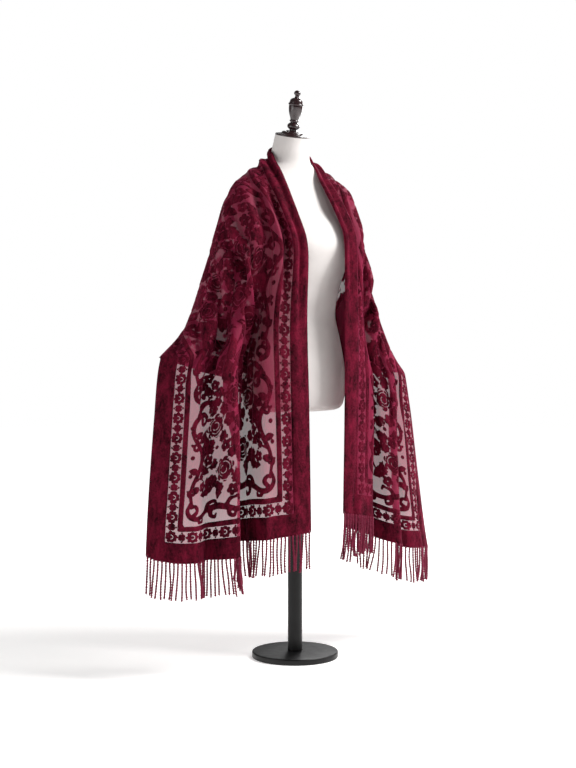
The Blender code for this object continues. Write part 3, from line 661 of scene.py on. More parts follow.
# Soft creases that the cloth keeps from its folding and its own weight. A place is measured on the
# flat cloth in metres: across from the neck edge, and up from the nearer hem. A depth is inward.
Crease = namedtuple("Crease", "across_low up_low across_high up_high half_width depth")
CREASES = {
    RIGHT: table(
        Crease,
        # Long pulls of the sleeve, from under the shoulder to the elbow.
        (0.252, 0.26, 0.196, 0.94, 0.013, 0.015), (0.350, 0.20, 0.238, 0.97, 0.018, 0.046),
        (0.560, 0.40, 0.330, 0.93, 0.016, 0.030), (0.450, 0.38, 0.272, 0.93, 0.014, -0.013),
        (0.650, 0.46, 0.470, 0.86, 0.014, 0.016), (0.300, 0.24, 0.216, 0.92, 0.013, -0.008),
        (0.680, 0.56, 0.540, 0.84, 0.012, 0.010),
        # Shallow ripples of the hanging front.
        (0.050, 0.02, 0.075, 0.62, 0.012, 0.0055), (0.135, 0.00, 0.150, 0.40, 0.015, -0.0071),
        (0.205, 0.10, 0.190, 0.74, 0.010, 0.0063), (0.235, 0.00, 0.252, 0.31, 0.014, 0.0088),
        (0.395, 0.00, 0.375, 0.46, 0.013, -0.0076), (0.470, 0.03, 0.452, 0.55, 0.016, 0.0084),
        (0.548, 0.00, 0.560, 0.26, 0.012, -0.0063), (0.612, 0.05, 0.590, 0.48, 0.014, 0.0071),
        (0.662, 0.00, 0.655, 0.22, 0.010, -0.0046), (0.100, 0.55, 0.165, 0.86, 0.009, 0.0050),
        # Flutes of the back, from near the nape out to the lower edge.
        (1.100, 1.150, 0.130, 1.130, 0.019, 0.022), (1.100, 1.062, 0.210, 1.086, 0.021, -0.014),
        (1.120, 1.020, 0.160, 1.040, 0.017, 0.024), (1.100, 0.930, 0.260, 0.990, 0.024, -0.015),
        (1.120, 0.890, 0.190, 0.965, 0.019, 0.020), (1.100, 0.800, 0.330, 0.900, 0.020, -0.012),
    ),
    LEFT: table(
        Crease,
        # Long pulls of the sleeve.
        (0.250, 0.28, 0.205, 0.88, 0.014, 0.015), (0.352, 0.24, 0.284, 0.94, 0.016, 0.020),
        (0.448, 0.30, 0.352, 0.86, 0.013, 0.012), (0.540, 0.26, 0.455, 0.78, 0.015, 0.010),
        (0.622, 0.32, 0.548, 0.66, 0.011, 0.006), (0.300, 0.36, 0.244, 0.86, 0.012, -0.008),
        (0.492, 0.32, 0.402, 0.74, 0.014, -0.004), (0.584, 0.28, 0.505, 0.66, 0.011, -0.004),
        # Shallow ripples.
        (0.040, 0.00, 0.062, 0.50, 0.013, 0.0059), (0.120, 0.04, 0.128, 0.66, 0.011, -0.0055),
        (0.175, 0.00, 0.188, 0.35, 0.016, 0.0084), (0.222, 0.12, 0.210, 0.58, 0.010, -0.0059),
        (0.352, 0.00, 0.362, 0.42, 0.014, 0.0071), (0.415, 0.02, 0.398, 0.60, 0.012, -0.0076),
        (0.500, 0.00, 0.522, 0.33, 0.017, 0.0080), (0.566, 0.10, 0.548, 0.50, 0.011, -0.0055),
        (0.640, 0.00, 0.628, 0.30, 0.013, 0.0063), (0.130, 0.60, 0.182, 0.90, 0.010, 0.0055),
        (0.330, 0.50, 0.258, 0.84, 0.012, 0.0071), (0.455, 0.46, 0.380, 0.76, 0.013, 0.0063),
        (0.560, 0.42, 0.480, 0.66, 0.014, -0.0059), (0.640, 0.36, 0.585, 0.58, 0.011, 0.0050),
        # Flutes of the back.
        (1.100, 1.172, 0.180, 1.160, 0.018, -0.012), (1.120, 1.100, 0.140, 1.110, 0.020, 0.023),
        (1.100, 1.040, 0.250, 1.062, 0.019, -0.012), (1.100, 0.990, 0.200, 1.020, 0.023, 0.021),
        (1.120, 0.935, 0.240, 0.990, 0.018, -0.012), (1.100, 0.880, 0.170, 0.955, 0.018, 0.016),
    ),
}

# The collar: folds that run from the bust over the shoulder and round the nape to the other side.
CollarFold = namedtuple("CollarFold", "across_low up_low across_nape half_width depth")
COLLAR = table(CollarFold, (0.006, 0.50, 0.008, 0.0070, -0.0050), (0.024, 0.44, 0.020, 0.0075, 0.0100),
               (0.047, 0.40, 0.038, 0.0085, -0.0100), (0.070, 0.46, 0.058, 0.0085, 0.0150),
               (0.096, 0.52, 0.080, 0.0095, -0.0110), (0.126, 0.56, 0.104, 0.0095, 0.0130),
               (0.168, 0.60, 0.136, 0.0120, -0.0080), (0.216, 0.62, 0.176, 0.0130, 0.0090))
CREASE_WANDER = 0.006     # how far a crease strays from its straight line
WANDER_LENGTH = 0.11
COLLAR_STRAY = 0.005


def crease_depths(side, across, up):
    """How far the creases press a half of the cloth inward."""
    pressed = np.zeros(across.shape)
    for crease in CREASES[side]:
        run = np.array([crease.across_high - crease.across_low, crease.up_high - crease.up_low])
        length = np.linalg.norm(run)
        run /= length
        along = (across - crease.across_low) * run[0] + (up - crease.up_low) * run[1]
        wander = CREASE_WANDER * np.sin(along / WANDER_LENGTH + 40 * crease.half_width)
        aside = (up - crease.up_low) * run[0] - (across - crease.across_low) * run[1] + wander
        half_width = crease.half_width * (0.8 + 0.5 * np.clip(along / length, 0, 1))
        ends = ease((length - along) / (0.45 * length))
        if crease.up_low > 0:
            ends = ends * ease(along / (0.3 * length))
        pressed += crease.depth * ends * hump(aside, half_width)
    for number, fold in enumerate(COLLAR):
        climb = np.clip((up - fold.up_low) / (HALF_LENGTH - fold.up_low), 0, 1)
        shift = side * COLLAR_STRAY * np.sin(3 * number + 5 * climb) * (1 - climb)
        aside = across - shift - fold.across_low - (fold.across_nape - fold.across_low) * climb ** 0.7
        over_shoulder = 1.0 if number < 5 else ease((0.86 - climb) / 0.22)
        calmed = 1.0 - (0.30 if number < 3 else 0.85) * hump(climb - 0.74, 0.20)
        pressed += fold.depth * ease(climb / 0.45) * calmed * over_shoulder * hump(aside, fold.half_width)
    return pressed


def blur_along(points, threads_wide):
    """Rounds the sharp turns along the threads and keeps both ends where they are."""
    reach = int(3 * threads_wide)
    weights = np.exp(-0.5 * (np.arange(-reach, reach + 1) / threads_wide) ** 2)
    weights /= weights.sum()
    head = 2 * points[:, :1] - points[:, reach:0:-1]
    tail = 2 * points[:, -1:] - points[:, -2:-reach - 2:-1]
    padded = np.concatenate([head, points, tail], axis=1)
    return sum(weight * padded[:, k:k + points.shape[1]] for k, weight in enumerate(weights))


def outward(points):
    """Unit normals of the cloth on its pile side."""
    across = np.gradient(points, axis=0)
    along = np.gradient(points, axis=1)
    normals = np.cross(along, across)
    return normals / np.maximum(np.linalg.norm(normals, axis=2), 1e-12)[:, :, None]


ROUNDING = 3.2            # in threads
right_half = half_of_the_cloth(RIGHT)[:, ::-1]
left_half = half_of_the_cloth(LEFT)
loose = blur_along(np.concatenate([right_half, left_half[:, 1:]], axis=1), ROUNDING)

# The frame of border, band and stripe keeps its true width from both edges; only the field between
# takes up what the shallow folds use.
EDGE_KEPT = 0.125
wanted_across = np.linspace(0, CLOTH_WIDTH, round(CLOTH_WIDTH / THREAD_STEP) + 1)


def evened(cloth):
    """The same cloth with its lengthwise threads spaced evenly across it."""
    spaced = np.zeros((len(wanted_across), cloth.shape[1], 3))
    for row in range(cloth.shape[1]):
        full = running_length(cloth[:, row])[-1]
        places = np.interp(wanted_across, [0, EDGE_KEPT, CLOTH_WIDTH - EDGE_KEPT, CLOTH_WIDTH],
                           [0, EDGE_KEPT, full - EDGE_KEPT, full])
        spaced[:, row] = resample(cloth[:, row], places)
    return spaced


draped = evened(loose)
wanted_along = np.linspace(-HALF_LENGTH, HALF_LENGTH, draped.shape[1])
across_grid, along_grid = np.meshgrid(wanted_across, wanted_along, indexing="ij")
up_grid = HALF_LENGTH - np.abs(along_grid)
pressed = np.where(along_grid < 0, crease_depths(RIGHT, across_grid, up_grid),
                   crease_depths(LEFT, across_grid, up_grid))
draped = evened(draped - outward(draped) * pressed[:, :, None])

# Where the cloth would touch the form it is eased off it, as its own thickness keeps it. Only places
# that can reach the form are tried, and every second thread each way.
CLEAR_OF_FORM = 0.0016
FORM_REACH = 0.21
LOWEST_TOUCH = 0.73
SEARCH = 0.03
EASING_ROUNDS = 3
form_tree = BVHTree.FromObject(form, bpy.context.evaluated_depsgraph_get())
near_form = np.argwhere((np.abs(draped[:, :, 0]) < FORM_REACH) & (draped[:, :, 2] > LOWEST_TOUCH))
push = np.zeros(draped.shape[:2])
for i, j in near_form[(near_form[:, 0] % 2 == 0) & (near_form[:, 1] % 2 == 0)]:
    spot = Vector(draped[i, j])
    hit, normal, face, distance = form_tree.find_nearest(spot, SEARCH)
    if hit is not None:
        clearance = (spot - hit).dot(normal)
        push[i:i + 2, j:j + 2] = max(0.0, CLEAR_OF_FORM - clearance)
for k in range(EASING_ROUNDS):
    spread = np.pad(push, 1, mode="edge")
    around = (spread[:-2, 1:-1] + spread[2:, 1:-1] + spread[1:-1, :-2] + spread[1:-1, 2:]) / 4
    push = np.maximum(push, around)
draped += outward(draped) * push[:, :, None]
faces_out = outward(draped)


def on_cloth(across, along, lift):
    """Points on the draped cloth, lifted off its pile side. Places are metres on the flat cloth."""
    column = np.clip(across / THREAD_STEP, 0, draped.shape[0] - 1.001)
    row = np.clip((along + HALF_LENGTH) / THREAD_STEP, 0, draped.shape[1] - 1.001)
    i = column.astype(int)
    j = row.astype(int)
    a = (column - i)[:, None]
    b = (row - j)[:, None]

    def between(grid):
        near = grid[i, j] * (1 - a) + grid[i + 1, j] * a
        far = grid[i, j + 1] * (1 - a) + grid[i + 1, j + 1] * a
        return near * (1 - b) + far * b

    return between(draped) + between(faces_out) * np.asarray(lift)[:, None]


def lay_on_cloth(piece):
    """Moves a piece drawn flat onto the draped cloth, and keeps its flat places as its map."""
    mesh = piece.data
    flat = np.zeros(len(mesh.vertices) * 3)
    mesh.vertices.foreach_get("co", flat)
    flat = flat.reshape(-1, 3)
    hung = on_cloth(flat[:, 0], flat[:, 1], flat[:, 2])
    mesh.vertices.foreach_set("co", hung.ravel())
    corners = np.zeros(len(mesh.loops), dtype=np.int32)
    mesh.loops.foreach_get("vertex_index", corners)
    flat_map = mesh.uv_layers.new(name="flat_cloth")
    flat_map.uv.foreach_set("vector", flat[corners, :2].ravel())
    mesh.update()


# The ground of the stole: wine silk chiffon, woven in one length. The devore print has eaten the
# pile away from it, so it shows bare between the motifs, and everything behind shows through.
GROUND_CELL = 0.0055
SLUB = 0.0024
WEAVE = 0.0012

# Silk chiffon: crisp twisted threads with open gaps, covering about four fifths. The threads are
# 0.2 mm apart, far too fine to draw, so the gaps are an even transparency and only the slubs and
# the crimped weave are drawn, at 1.2 mm.
chiffon, tree, shader = new_material("wine_silk_chiffon", {
    "Alpha": 0.80, "Roughness": 0.55, "Sheen Weight": 0.15, "Sheen Roughness": 0.4,
    "Sheen Tint": to_linear("B85874"), "Specular IOR Level": 0.15})
flat_place = add_node(tree, "ShaderNodeUVMap", uv_map="flat_cloth").outputs["UV"]
slub_run = add_node(tree, "ShaderNodeMapping", {"Vector": flat_place, "Scale": (1.0, 0.08, 1.0)})
slubs = add_node(tree, "ShaderNodeTexNoise", {"Vector": slub_run.outputs["Vector"], "Scale": 1 / SLUB,
                                              "Detail": 2.0})
warp = add_node(tree, "ShaderNodeTexWave", {"Vector": flat_place, "Scale": wave_scale(WEAVE)},
                wave_type="BANDS", bands_direction="X")
weft = add_node(tree, "ShaderNodeTexWave", {"Vector": flat_place, "Scale": wave_scale(WEAVE)},
                wave_type="BANDS", bands_direction="Y")
weave = add_node(tree, "ShaderNodeMath", {0: warp.outputs["Fac"], 1: weft.outputs["Fac"]}, operation="ADD")
thread = add_node(tree, "ShaderNodeMix", {0: slubs.outputs["Fac"], 6: to_linear("761634"),
                                          7: to_linear("9A2448")}, data_type="RGBA")
tree.links.new(thread.outputs[2], shader.inputs["Base Color"])
crimp = add_node(tree, "ShaderNodeBump", {"Height": weave.outputs["Value"], "Strength": 0.3,
                                          "Distance": 0.0003})
tree.links.new(crimp.outputs["Normal"], shader.inputs["Normal"])

bm = bmesh.new()
bmesh.ops.create_grid(bm, x_segments=round(CLOTH_WIDTH / GROUND_CELL),
                      y_segments=round(2 * HALF_LENGTH / GROUND_CELL), size=0.5)
for vertex in bm.verts:
    vertex.co = ((vertex.co.x + 0.5) * CLOTH_WIDTH, vertex.co.y * 2 * HALF_LENGTH, 0.0)
bmesh.ops.reverse_faces(bm, faces=bm.faces)
ground = add_piece("chiffon_ground", bm, chiffon)
lay_on_cloth(ground)
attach(ground, "root")
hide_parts("stole_back", "stole_front_right", "stole_front_left")


# The pile: short viscose plush left standing where the print kept it, nearly 1 mm high on the ground.
# It makes a plain border, a narrow stripe, a chain of rosettes in the sheer band, and the field.
PILE_FOOT = 0.00015
PILE_TOP = 0.00095
OUTLINE_HEIGHT = 0.7      # the pile is sheared rounder along its outline
BORDER = 0.059            # plain border, from every edge
BAND = 0.034              # sheer band with the rosettes
STRIPE = 0.015            # narrow stripe inside it
FIELD_EDGE = BORDER + BAND + STRIPE
PLAIN_CELL = 0.006
DRAWN_CELL = 0.0028
LEANING_PATCH = 0.026
TUFT = 0.007

# Crushed viscose velvet: the pile leans in patches about 26 mm wide and twice as tall, broken into
# tufts of 7 mm. Its colour carries painted sheen, pale where the pile leans away, and painted shade,
# nearly black, where it leans in; the shader's own sheen adds a rosy bloom on the pale tufts and
# along every turned edge.
plush, tree, shader = new_material("crushed_wine_velvet", {
    "Sheen Roughness": 0.32, "Sheen Tint": to_linear("C84C72"), "Specular IOR Level": 0.05})
place = add_node(tree, "ShaderNodeTexCoord").outputs["Object"]
hanging = add_node(tree, "ShaderNodeMapping", {"Vector": place, "Scale": (1.0, 1.0, 0.45)})
leaning = add_node(tree, "ShaderNodeTexNoise", {
    "Vector": hanging.outputs["Vector"], "Scale": 1 / LEANING_PATCH, "Detail": 5.0,
    "Roughness": 0.68, "Distortion": 0.5})
tufts = add_node(tree, "ShaderNodeTexNoise", {"Vector": place, "Scale": 1 / TUFT, "Detail": 5.0,
                                              "Roughness": 0.75})
patches = add_node(tree, "ShaderNodeMapRange", {"Value": leaning.outputs["Fac"], "From Min": 0.32,
                                                "From Max": 0.80})
mottled = add_node(tree, "ShaderNodeMath", {0: tufts.outputs["Fac"], 1: 1.3, 2: -0.62},
                   operation="MULTIPLY_ADD")
nap_and_painted_sheen = add_node(tree, "ShaderNodeMath", {0: patches.outputs["Result"], 1: mottled.outputs["Value"]},
               operation="ADD", use_clamp=True)
# Painted sheen and shade: the colour runs from near black to pale wine with the lean of the pile.
pile_colour_with_painted_sheen = add_node(tree, "ShaderNodeMix", {0: nap_and_painted_sheen.outputs["Value"], 6: to_linear("22030A"),
                                               7: to_linear("7A1430")}, data_type="RGBA")
tree.links.new(pile_colour_with_painted_sheen.outputs[2], shader.inputs["Base Color"])
dull = add_node(tree, "ShaderNodeMapRange", {"Value": nap_and_painted_sheen.outputs["Value"], "To Min": 0.85, "To Max": 0.60})
tree.links.new(dull.outputs["Result"], shader.inputs["Roughness"])
brushed = add_node(tree, "ShaderNodeBump", {"Height": tufts.outputs["Fac"], "Strength": 0.7,
                                            "Distance": 0.0025})
tree.links.new(brushed.outputs["Normal"], shader.inputs["Normal"])
bloom = add_node(tree, "ShaderNodeMapRange", {"Value": nap_and_painted_sheen.outputs["Value"], "To Min": 0.45, "To Max": 1.0})
tree.links.new(bloom.outputs["Result"], shader.inputs["Sheen Weight"])


def raise_pile(name, across_range, along_range, cell, stand):
    """Pile standing on one stretch of the ground: a flat grid is cut along the drawn outline, the
    bare part is taken away, and the rest is extruded to its height and laid on the cloth."""
    columns = round((across_range[1] - across_range[0]) / cell)
    rows = round((along_range[1] - along_range[0]) / cell)
    across = np.linspace(*across_range, columns + 1)
    along = np.linspace(*along_range, rows + 1)
    inside = stand(*np.meshgrid(across, along, indexing="ij"))
    bm = bmesh.new()
    bmesh.ops.create_grid(bm, x_segments=columns, y_segments=rows, size=0.5)
    level = bm.verts.layers.float.new("level")
    for vertex in bm.verts:
        i = round((vertex.co.x + 0.5) * columns)
        j = round((vertex.co.y + 0.5) * rows)
        vertex.co = (across[i], along[j], PILE_FOOT)
        vertex[level] = inside[i, j]
    crossed = {}
    for edge in bm.edges:
        a = edge.verts[0][level]
        b = edge.verts[1][level]
        if a * b < 0:
            crossed[edge] = min(max(a / (a - b), 0.02), 0.98)
    cut = bmesh.ops.bisect_edges(bm, edges=list(crossed), cuts=1, edge_percents=crossed)
    outline = [item for item in cut["geom_split"] if isinstance(item, bmesh.types.BMVert)]
    for vertex in outline:
        vertex[level] = 0.0
    bmesh.ops.connect_verts(bm, verts=outline)
    bare = [face for face in bm.faces if sum(vertex[level] for vertex in face.verts) <= 0]
    bmesh.ops.delete(bm, geom=bare, context="FACES")
    raised = bmesh.ops.extrude_face_region(bm, geom=bm.faces[:], use_keep_orig=True)
    for item in raised["geom"]:
        if isinstance(item, bmesh.types.BMVert):
            item.co.z = PILE_TOP if item[level] != 0.0 else OUTLINE_HEIGHT * PILE_TOP
    bmesh.ops.recalc_face_normals(bm, faces=bm.faces)
    bmesh.ops.reverse_faces(bm, faces=bm.faces)
    pile = add_piece(name, bm, plush)
    lay_on_cloth(pile)
    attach(pile, "root")
    return pile


def from_edge(across, along):
    """Distance from the nearest edge of the cloth."""
    return np.minimum(np.minimum(across, CLOTH_WIDTH - across), HALF_LENGTH - np.abs(along))


def border_and_stripe(across, along):
    edge = from_edge(across, along)
    border = np.minimum(BORDER - edge, edge - 0.0004)
    stripe = STRIPE / 2 - np.abs(edge - BORDER - BAND - STRIPE / 2)
    return np.maximum(border, stripe)


pile_pieces = [
    raise_pile("pile_frame_right", (0, CLOTH_WIDTH), (-HALF_LENGTH, 0), PLAIN_CELL, border_and_stripe),
    raise_pile("pile_frame_left", (0, CLOTH_WIDTH), (0, HALF_LENGTH), PLAIN_CELL, border_and_stripe)]


# The printer's drawing of the motifs: where the level is above zero the pile stays. A shape adds to
# the level or cuts from it, and bare lines inside a flower part its petals.
LINE_RADIUS = 0.0013


class Drawing:
    """A drawing on a grid of flat places, with its shapes in metres."""

    def __init__(self, across, along):
        self.across = across
        self.along = along
        self.level = np.full(across.shape, -0.01)

    def near(self, x, y, reach):
        """The part of the grid within reach of a place."""
        columns = np.nonzero(np.abs(self.across[:, 0] - x) < reach)[0]
        rows = np.nonzero(np.abs(self.along[0] - y) < reach)[0]
        if len(columns) == 0 or len(rows) == 0:
            return None
        return slice(columns[0], columns[-1] + 1), slice(rows[0], rows[-1] + 1)

    def add(self, x, y, reach, shape):
        part = self.near(x, y, reach)
        if part:
            pile = shape(self.across[part] - x, self.along[part] - y)
            self.level[part] = np.maximum(self.level[part], pile)

    def cut(self, x, y, reach, shape):
        part = self.near(x, y, reach)
        if part:
            bare = -shape(self.across[part] - x, self.along[part] - y)
            self.level[part] = np.minimum(self.level[part], bare)

    def dot(self, x, y, radius):
        self.add(x, y, radius + 0.004, lambda dx, dy: radius - np.hypot(dx, dy))

    def blossom(self, x, y, radius, petals, turn=0.0, eye=0.0):
        """A round flower whose edge is scalloped into petals, with a bare eye."""
        def edge(dx, dy):
            scallop = np.abs(np.cos(petals / 2 * (np.arctan2(dy, dx) - turn)))
            return radius * (0.66 + 0.36 * scallop ** 0.6) - np.hypot(dx, dy)
        self.add(x, y, radius + 0.006, edge)
        if eye:
            self.cut(x, y, radius, lambda dx, dy: eye - np.hypot(dx, dy))

    def stroke(self, points, radii):
        """A curved stem that swells and thins: short straight runs of changing width."""
        points = np.asarray(points, float)
        places = np.arange(len(points))
        fine = np.linspace(0, len(points) - 1, (len(points) - 1) * 5 + 1)
        xs = smooth_through(places, points[:, 0], fine)
        ys = smooth_through(places, points[:, 1], fine)
        rs = np.interp(fine, places, radii)
        for k in range(len(fine) - 1):
            self.run((xs[k], ys[k]), (xs[k + 1], ys[k + 1]), rs[k], rs[k + 1])

    def run(self, start, end, start_radius, end_radius, cutting=False):
        """A straight stem with round ends, or a bare line of that shape."""
        mx, my = (start[0] + end[0]) / 2, (start[1] + end[1]) / 2
        sx, sy = end[0] - start[0], end[1] - start[1]
        length_2 = max(sx * sx + sy * sy, 1e-12)
        reach = length_2 ** 0.5 / 2 + max(start_radius, end_radius) + 0.006

        def capsule(dx, dy):
            t = np.clip(((dx + sx / 2) * sx + (dy + sy / 2) * sy) / length_2, 0, 1)
            radius = start_radius + (end_radius - start_radius) * t
            return radius - np.hypot(dx + sx / 2 - t * sx, dy + sy / 2 - t * sy)
        (self.cut if cutting else self.add)(mx, my, reach, capsule)

    def leaf(self, x, y, turn, length, width, teeth=0):
        """A pointed leaf that starts at a place and runs along turn, with a bare line round it."""
        cx, sx = np.cos(turn), np.sin(turn)
        mx, my = x + cx * length / 2, y + sx * length / 2

        def blade(dx, dy):
            t = (dx * cx + dy * sx) / length + 0.5
            aside = np.abs(dy * cx - dx * sx)
            inside = np.clip(t, 0.001, 0.999)
            half = width * np.sin(pi * inside ** 0.8) ** 0.75
            if teeth:
                half = half * (0.70 + 0.36 * (1 - (inside * teeth + 0.3 * aside / width) % 1.0))
            return np.minimum(half - aside, np.minimum(t, 1 - t) * length)
        self.cut(mx, my, length / 2 + width + 0.003, lambda dx, dy: blade(dx, dy) + 0.0011)
        self.add(mx, my, length / 2 + width, blade)

    def rose(self, x, y, radius, turn=0.0):
        """A full rose: a lobed disc with bare lines between its curled petals."""
        self.blossom(x, y, radius, 7, turn)
        curls = ((0.30, 0.3, 4.6), (0.54, 2.2, 2.3), (0.56, 5.0, 1.9), (0.78, 0.9, 1.6), (0.80, 3.1, 1.5),
                 (0.79, 5.2, 1.3))
        for share, start, sweep in curls:
            angles = turn + start + np.linspace(0, sweep, 9)
            rs = radius * share * (1 + 0.14 * np.sin(np.linspace(0, pi, 9)))
            line = [(x + r * np.cos(a), y + r * np.sin(a)) for a, r in zip(angles, rs)]
            for a, b in zip(line, line[1:]):
                self.run(a, b, LINE_RADIUS, LINE_RADIUS, cutting=True)

    def scroll(self, x, y, radius, turn, hand, width):
        """A curled C of acanthus that winds into a knob and throws a small hook outside."""
        angles = np.linspace(0, 1.55 * pi, 12)
        rs = radius * np.linspace(1.0, 0.42, 12)
        points = [(x + r * np.cos(turn + hand * a), y + r * np.sin(turn + hand * a))
                  for a, r in zip(angles, rs)]
        self.stroke(points, np.linspace(0.7, 1.0, 12) * width)
        self.dot(*points[-1], width * 1.25)
        heel = turn + hand * 0.55 * pi
        self.leaf(x + radius * np.cos(heel), y + radius * np.sin(heel), heel - hand * 0.5, radius * 0.8,
                  width * 0.9)


def smooth_through(places, values, wanted):
    """Smooth line through all the given values."""
    values = np.asarray(values, float)
    slope = np.gradient(values)
    i = np.clip(wanted.astype(int), 0, len(values) - 2)
    t = wanted - i
    return (values[i] * (1 + 2 * t) * (1 - t) ** 2 + slope[i] * t * (1 - t) ** 2
            + values[i + 1] * t * t * (3 - 2 * t) + slope[i + 1] * t * t * (t - 1))


# The chain in the band: a rosette at each corner and about every 60 mm, with a bare ring that is open
# on one side, and between every two a small four-leafed flower with four dots round it.
CHAIN = BORDER + BAND / 2
LONG_REPEATS = 38
SHORT_REPEATS = 9
SMALL_FLOWER = 0.0112
DOT_PLACE = 0.0132
DOT_RADIUS = 0.0030
ROSETTE = 0.0182
RING_RADIUS = 0.0056
RING_MOUTH = 0.003


def chain_places():
    """Each place along the chain and whether a rosette or a small flower stands there."""
    places = []
    for k in range(2 * LONG_REPEATS + 1):
        along = (k / LONG_REPEATS - 1) * (HALF_LENGTH - CHAIN)
        places += [(CHAIN, along, k % 2), (CLOTH_WIDTH - CHAIN, along, k % 2)]
    for k in range(1, 2 * SHORT_REPEATS):
        across = CHAIN + k / SHORT_REPEATS / 2 * (CLOTH_WIDTH - 2 * CHAIN)
        places += [(across, CHAIN - HALF_LENGTH, k % 2), (across, HALF_LENGTH - CHAIN, k % 2)]
    return places


def bare_ring(dx, dy):
    return np.minimum(LINE_RADIUS - np.abs(np.hypot(dx, dy) - RING_RADIUS), RING_MOUTH - dx)


def chain(across, along):
    """The drawing of all four sides of the chain."""
    drawing = Drawing(across, along)
    for number, (x, y, small) in enumerate(chain_places()):
        if small:
            drawing.blossom(x, y, SMALL_FLOWER, 4, pi / 4)
            for aside in (-DOT_PLACE, DOT_PLACE):
                drawing.dot(x + aside, y, DOT_RADIUS)
                drawing.dot(x, y + aside, DOT_RADIUS)
        else:
            drawing.blossom(x, y, ROSETTE, 8, 0.2 + number * 0.37)
            drawing.cut(x, y, ROSETTE, bare_ring)
    return np.minimum(drawing.level, BAND / 2 - 0.0008 - np.abs(from_edge(across, along) - CHAIN))


BAND_END = HALF_LENGTH - BORDER - BAND
BAND_CELL = 0.0026
FAR_BORDER = CLOTH_WIDTH - BORDER
strips = {"pile_chain_neck_edge": ((BORDER, BORDER + BAND), (-BAND_END, BAND_END)),
          "pile_chain_outer_edge": ((FAR_BORDER - BAND, FAR_BORDER), (-BAND_END, BAND_END)),
          "pile_chain_right_hem": ((BORDER, FAR_BORDER), (BORDER - HALF_LENGTH, -BAND_END)),
          "pile_chain_left_hem": ((BORDER, FAR_BORDER), (BAND_END, HALF_LENGTH - BORDER))}
for name, (across_range, along_range) in strips.items():
    pile_pieces.append(raise_pile(name, across_range, along_range, BAND_CELL, chain))


# The field: a running vine with acanthus scrolls beside each stripe, bouquets of roses, small
# flowers and toothed leaves between, mirrored about the middle, and a swag along each hem.
# The design repeats every 358 mm; places are millimetres in from the stripe and up from the swag.
REPEAT = 0.358
REPEATS = 3
SWAG_HEIGHT = 0.070
HALF_DRAWN = 234          # width of the drawing in millimetres, drawn out to half of the field
FIELD_INSET = 0.004
BARE_ROUND_BLOOM = 0.0014
FLOWER_EYE = 0.0023
FIELD_WIDTH = CLOTH_WIDTH - 2 * FIELD_EDGE
FIELD_HEIGHT = HALF_LENGTH - FIELD_EDGE

Stem = namedtuple("Stem", "points radii")
STEMS = table(Stem, ([(22, -14), (16, 16), (20, 48), (36, 82), (50, 112), (48, 142), (32, 166), (20, 188)],
               [4, 5, 5.5, 7, 10, 9, 6.5, 7]),
              ([(20, 188), (14, 208), (18, 230), (32, 246), (52, 250), (66, 238)],
               [7, 6.5, 7, 8, 7.5, 5.5]),
              ([(30, 252), (44, 270), (66, 280), (86, 272)], [6, 8, 7.5, 4.5]),
              ([(22, 344), (14, 322), (20, 300), (36, 288)], [4, 6, 7, 6]),
              ([(52, 124), (74, 140), (90, 168)], [4.5, 3.5, 3]),
              ([(22, 58), (46, 66), (66, 52)], [3.5, 3, 3]),
              ([(156, 98), (178, 128), (188, 152), (202, 158)], [3, 3, 3, 3]),
              ([(112, 226), (128, 244), (142, 256)], [3, 3.2, 3]),
              ([(198, 22), (210, 46), (226, 62), (230, 92)], [3, 3.5, 3.5, 3]),
              ([(226, 236), (210, 286), (220, 322)], [3, 3.2, 3]),
              ([(92, 22), (104, 38), (120, 54)], [3, 3, 3]),
              ([(168, 292), (176, 318), (204, 338)], [3, 3, 3]))
Scroll = namedtuple("Scroll", "x y radius turn hand width")
SCROLLS = table(Scroll, (52, 232, 17, 80, -1, 6.0), (36, 308, 20, 200, -1, 6.4),
                (68, 296, 14, 250, 1, 5.0), (28, 158, 13, 60, 1, 4.8), (18, 26, 12, 250, -1, 4.6))
Leaf = namedtuple("Leaf", "x y turn length width teeth")
LEAVES = table(Leaf, (115, 59, 205, 66, 18.6, 4), (116, 87, 152, 66, 18.6, 4),
               (132, 44, 250, 55, 17.4, 3), (165, 53, 322, 66, 18.6, 4), (160, 97, 62, 49, 15.7, 3),
               (95, 228, 105, 59, 18.6, 4), (118, 221, 52, 51, 17.4, 3), (74, 190, 205, 45, 15.7, 3),
               (93, 173, 255, 57, 17.4, 4), (118, 179, 312, 55, 17.4, 3), (193, 269, 15, 45, 15.7, 3),
               (190, 248, 328, 49, 15.7, 3), (164, 290, 95, 63, 18.6, 4), (142, 276, 150, 66, 18.6, 4),
               (143, 246, 225, 45, 15.7, 3), (201, 151, 195, 59, 18.6, 4), (217, 131, 240, 57, 17.4, 4),
               (205, 177, 150, 55, 17.4, 3), (220, 191, 118, 51, 15.7, 3), (207, 345, 180, 59, 18.6, 4),
               (215, 326, 228, 51, 15.7, 3), (213, 362, 140, 55, 17.4, 3), (56, 116, 22, 51, 17.4, 3),
               (58, 134, 68, 51, 17.4, 3), (46, 98, -30, 49, 15.7, 3), (66, 316, 66, 51, 17.4, 3),
               (70, 306, 12, 51, 17.4, 3), (84, 270, -14, 45, 15.7, 3), (16, 214, 150, 13, 7, 0),
               (22, 188, 22, 31, 10.5, 0), (34, 86, 165, 29, 10.5, 0), (18, 30, 20, 29, 10.5, 0),
               (46, 62, 60, 26, 9.5, 0), (22, 340, 60, 29, 10.5, 0), (194, 40, 140, 49, 15.7, 3),
               (210, 48, 20, 24, 9.5, 0), (96, 26, 190, 51, 15.7, 3), (104, 30, 100, 29, 10.5, 0),
               (188, 112, 300, 43, 15.4, 3), (186, 96, 60, 41, 14.8, 3), (56, 168, 70, 37, 12.7, 3),
               (126, 8, 110, 41, 14.8, 3), (196, 206, 60, 39, 13.8, 3))
Bloom = namedtuple("Bloom", "kind x y radius petals turn")
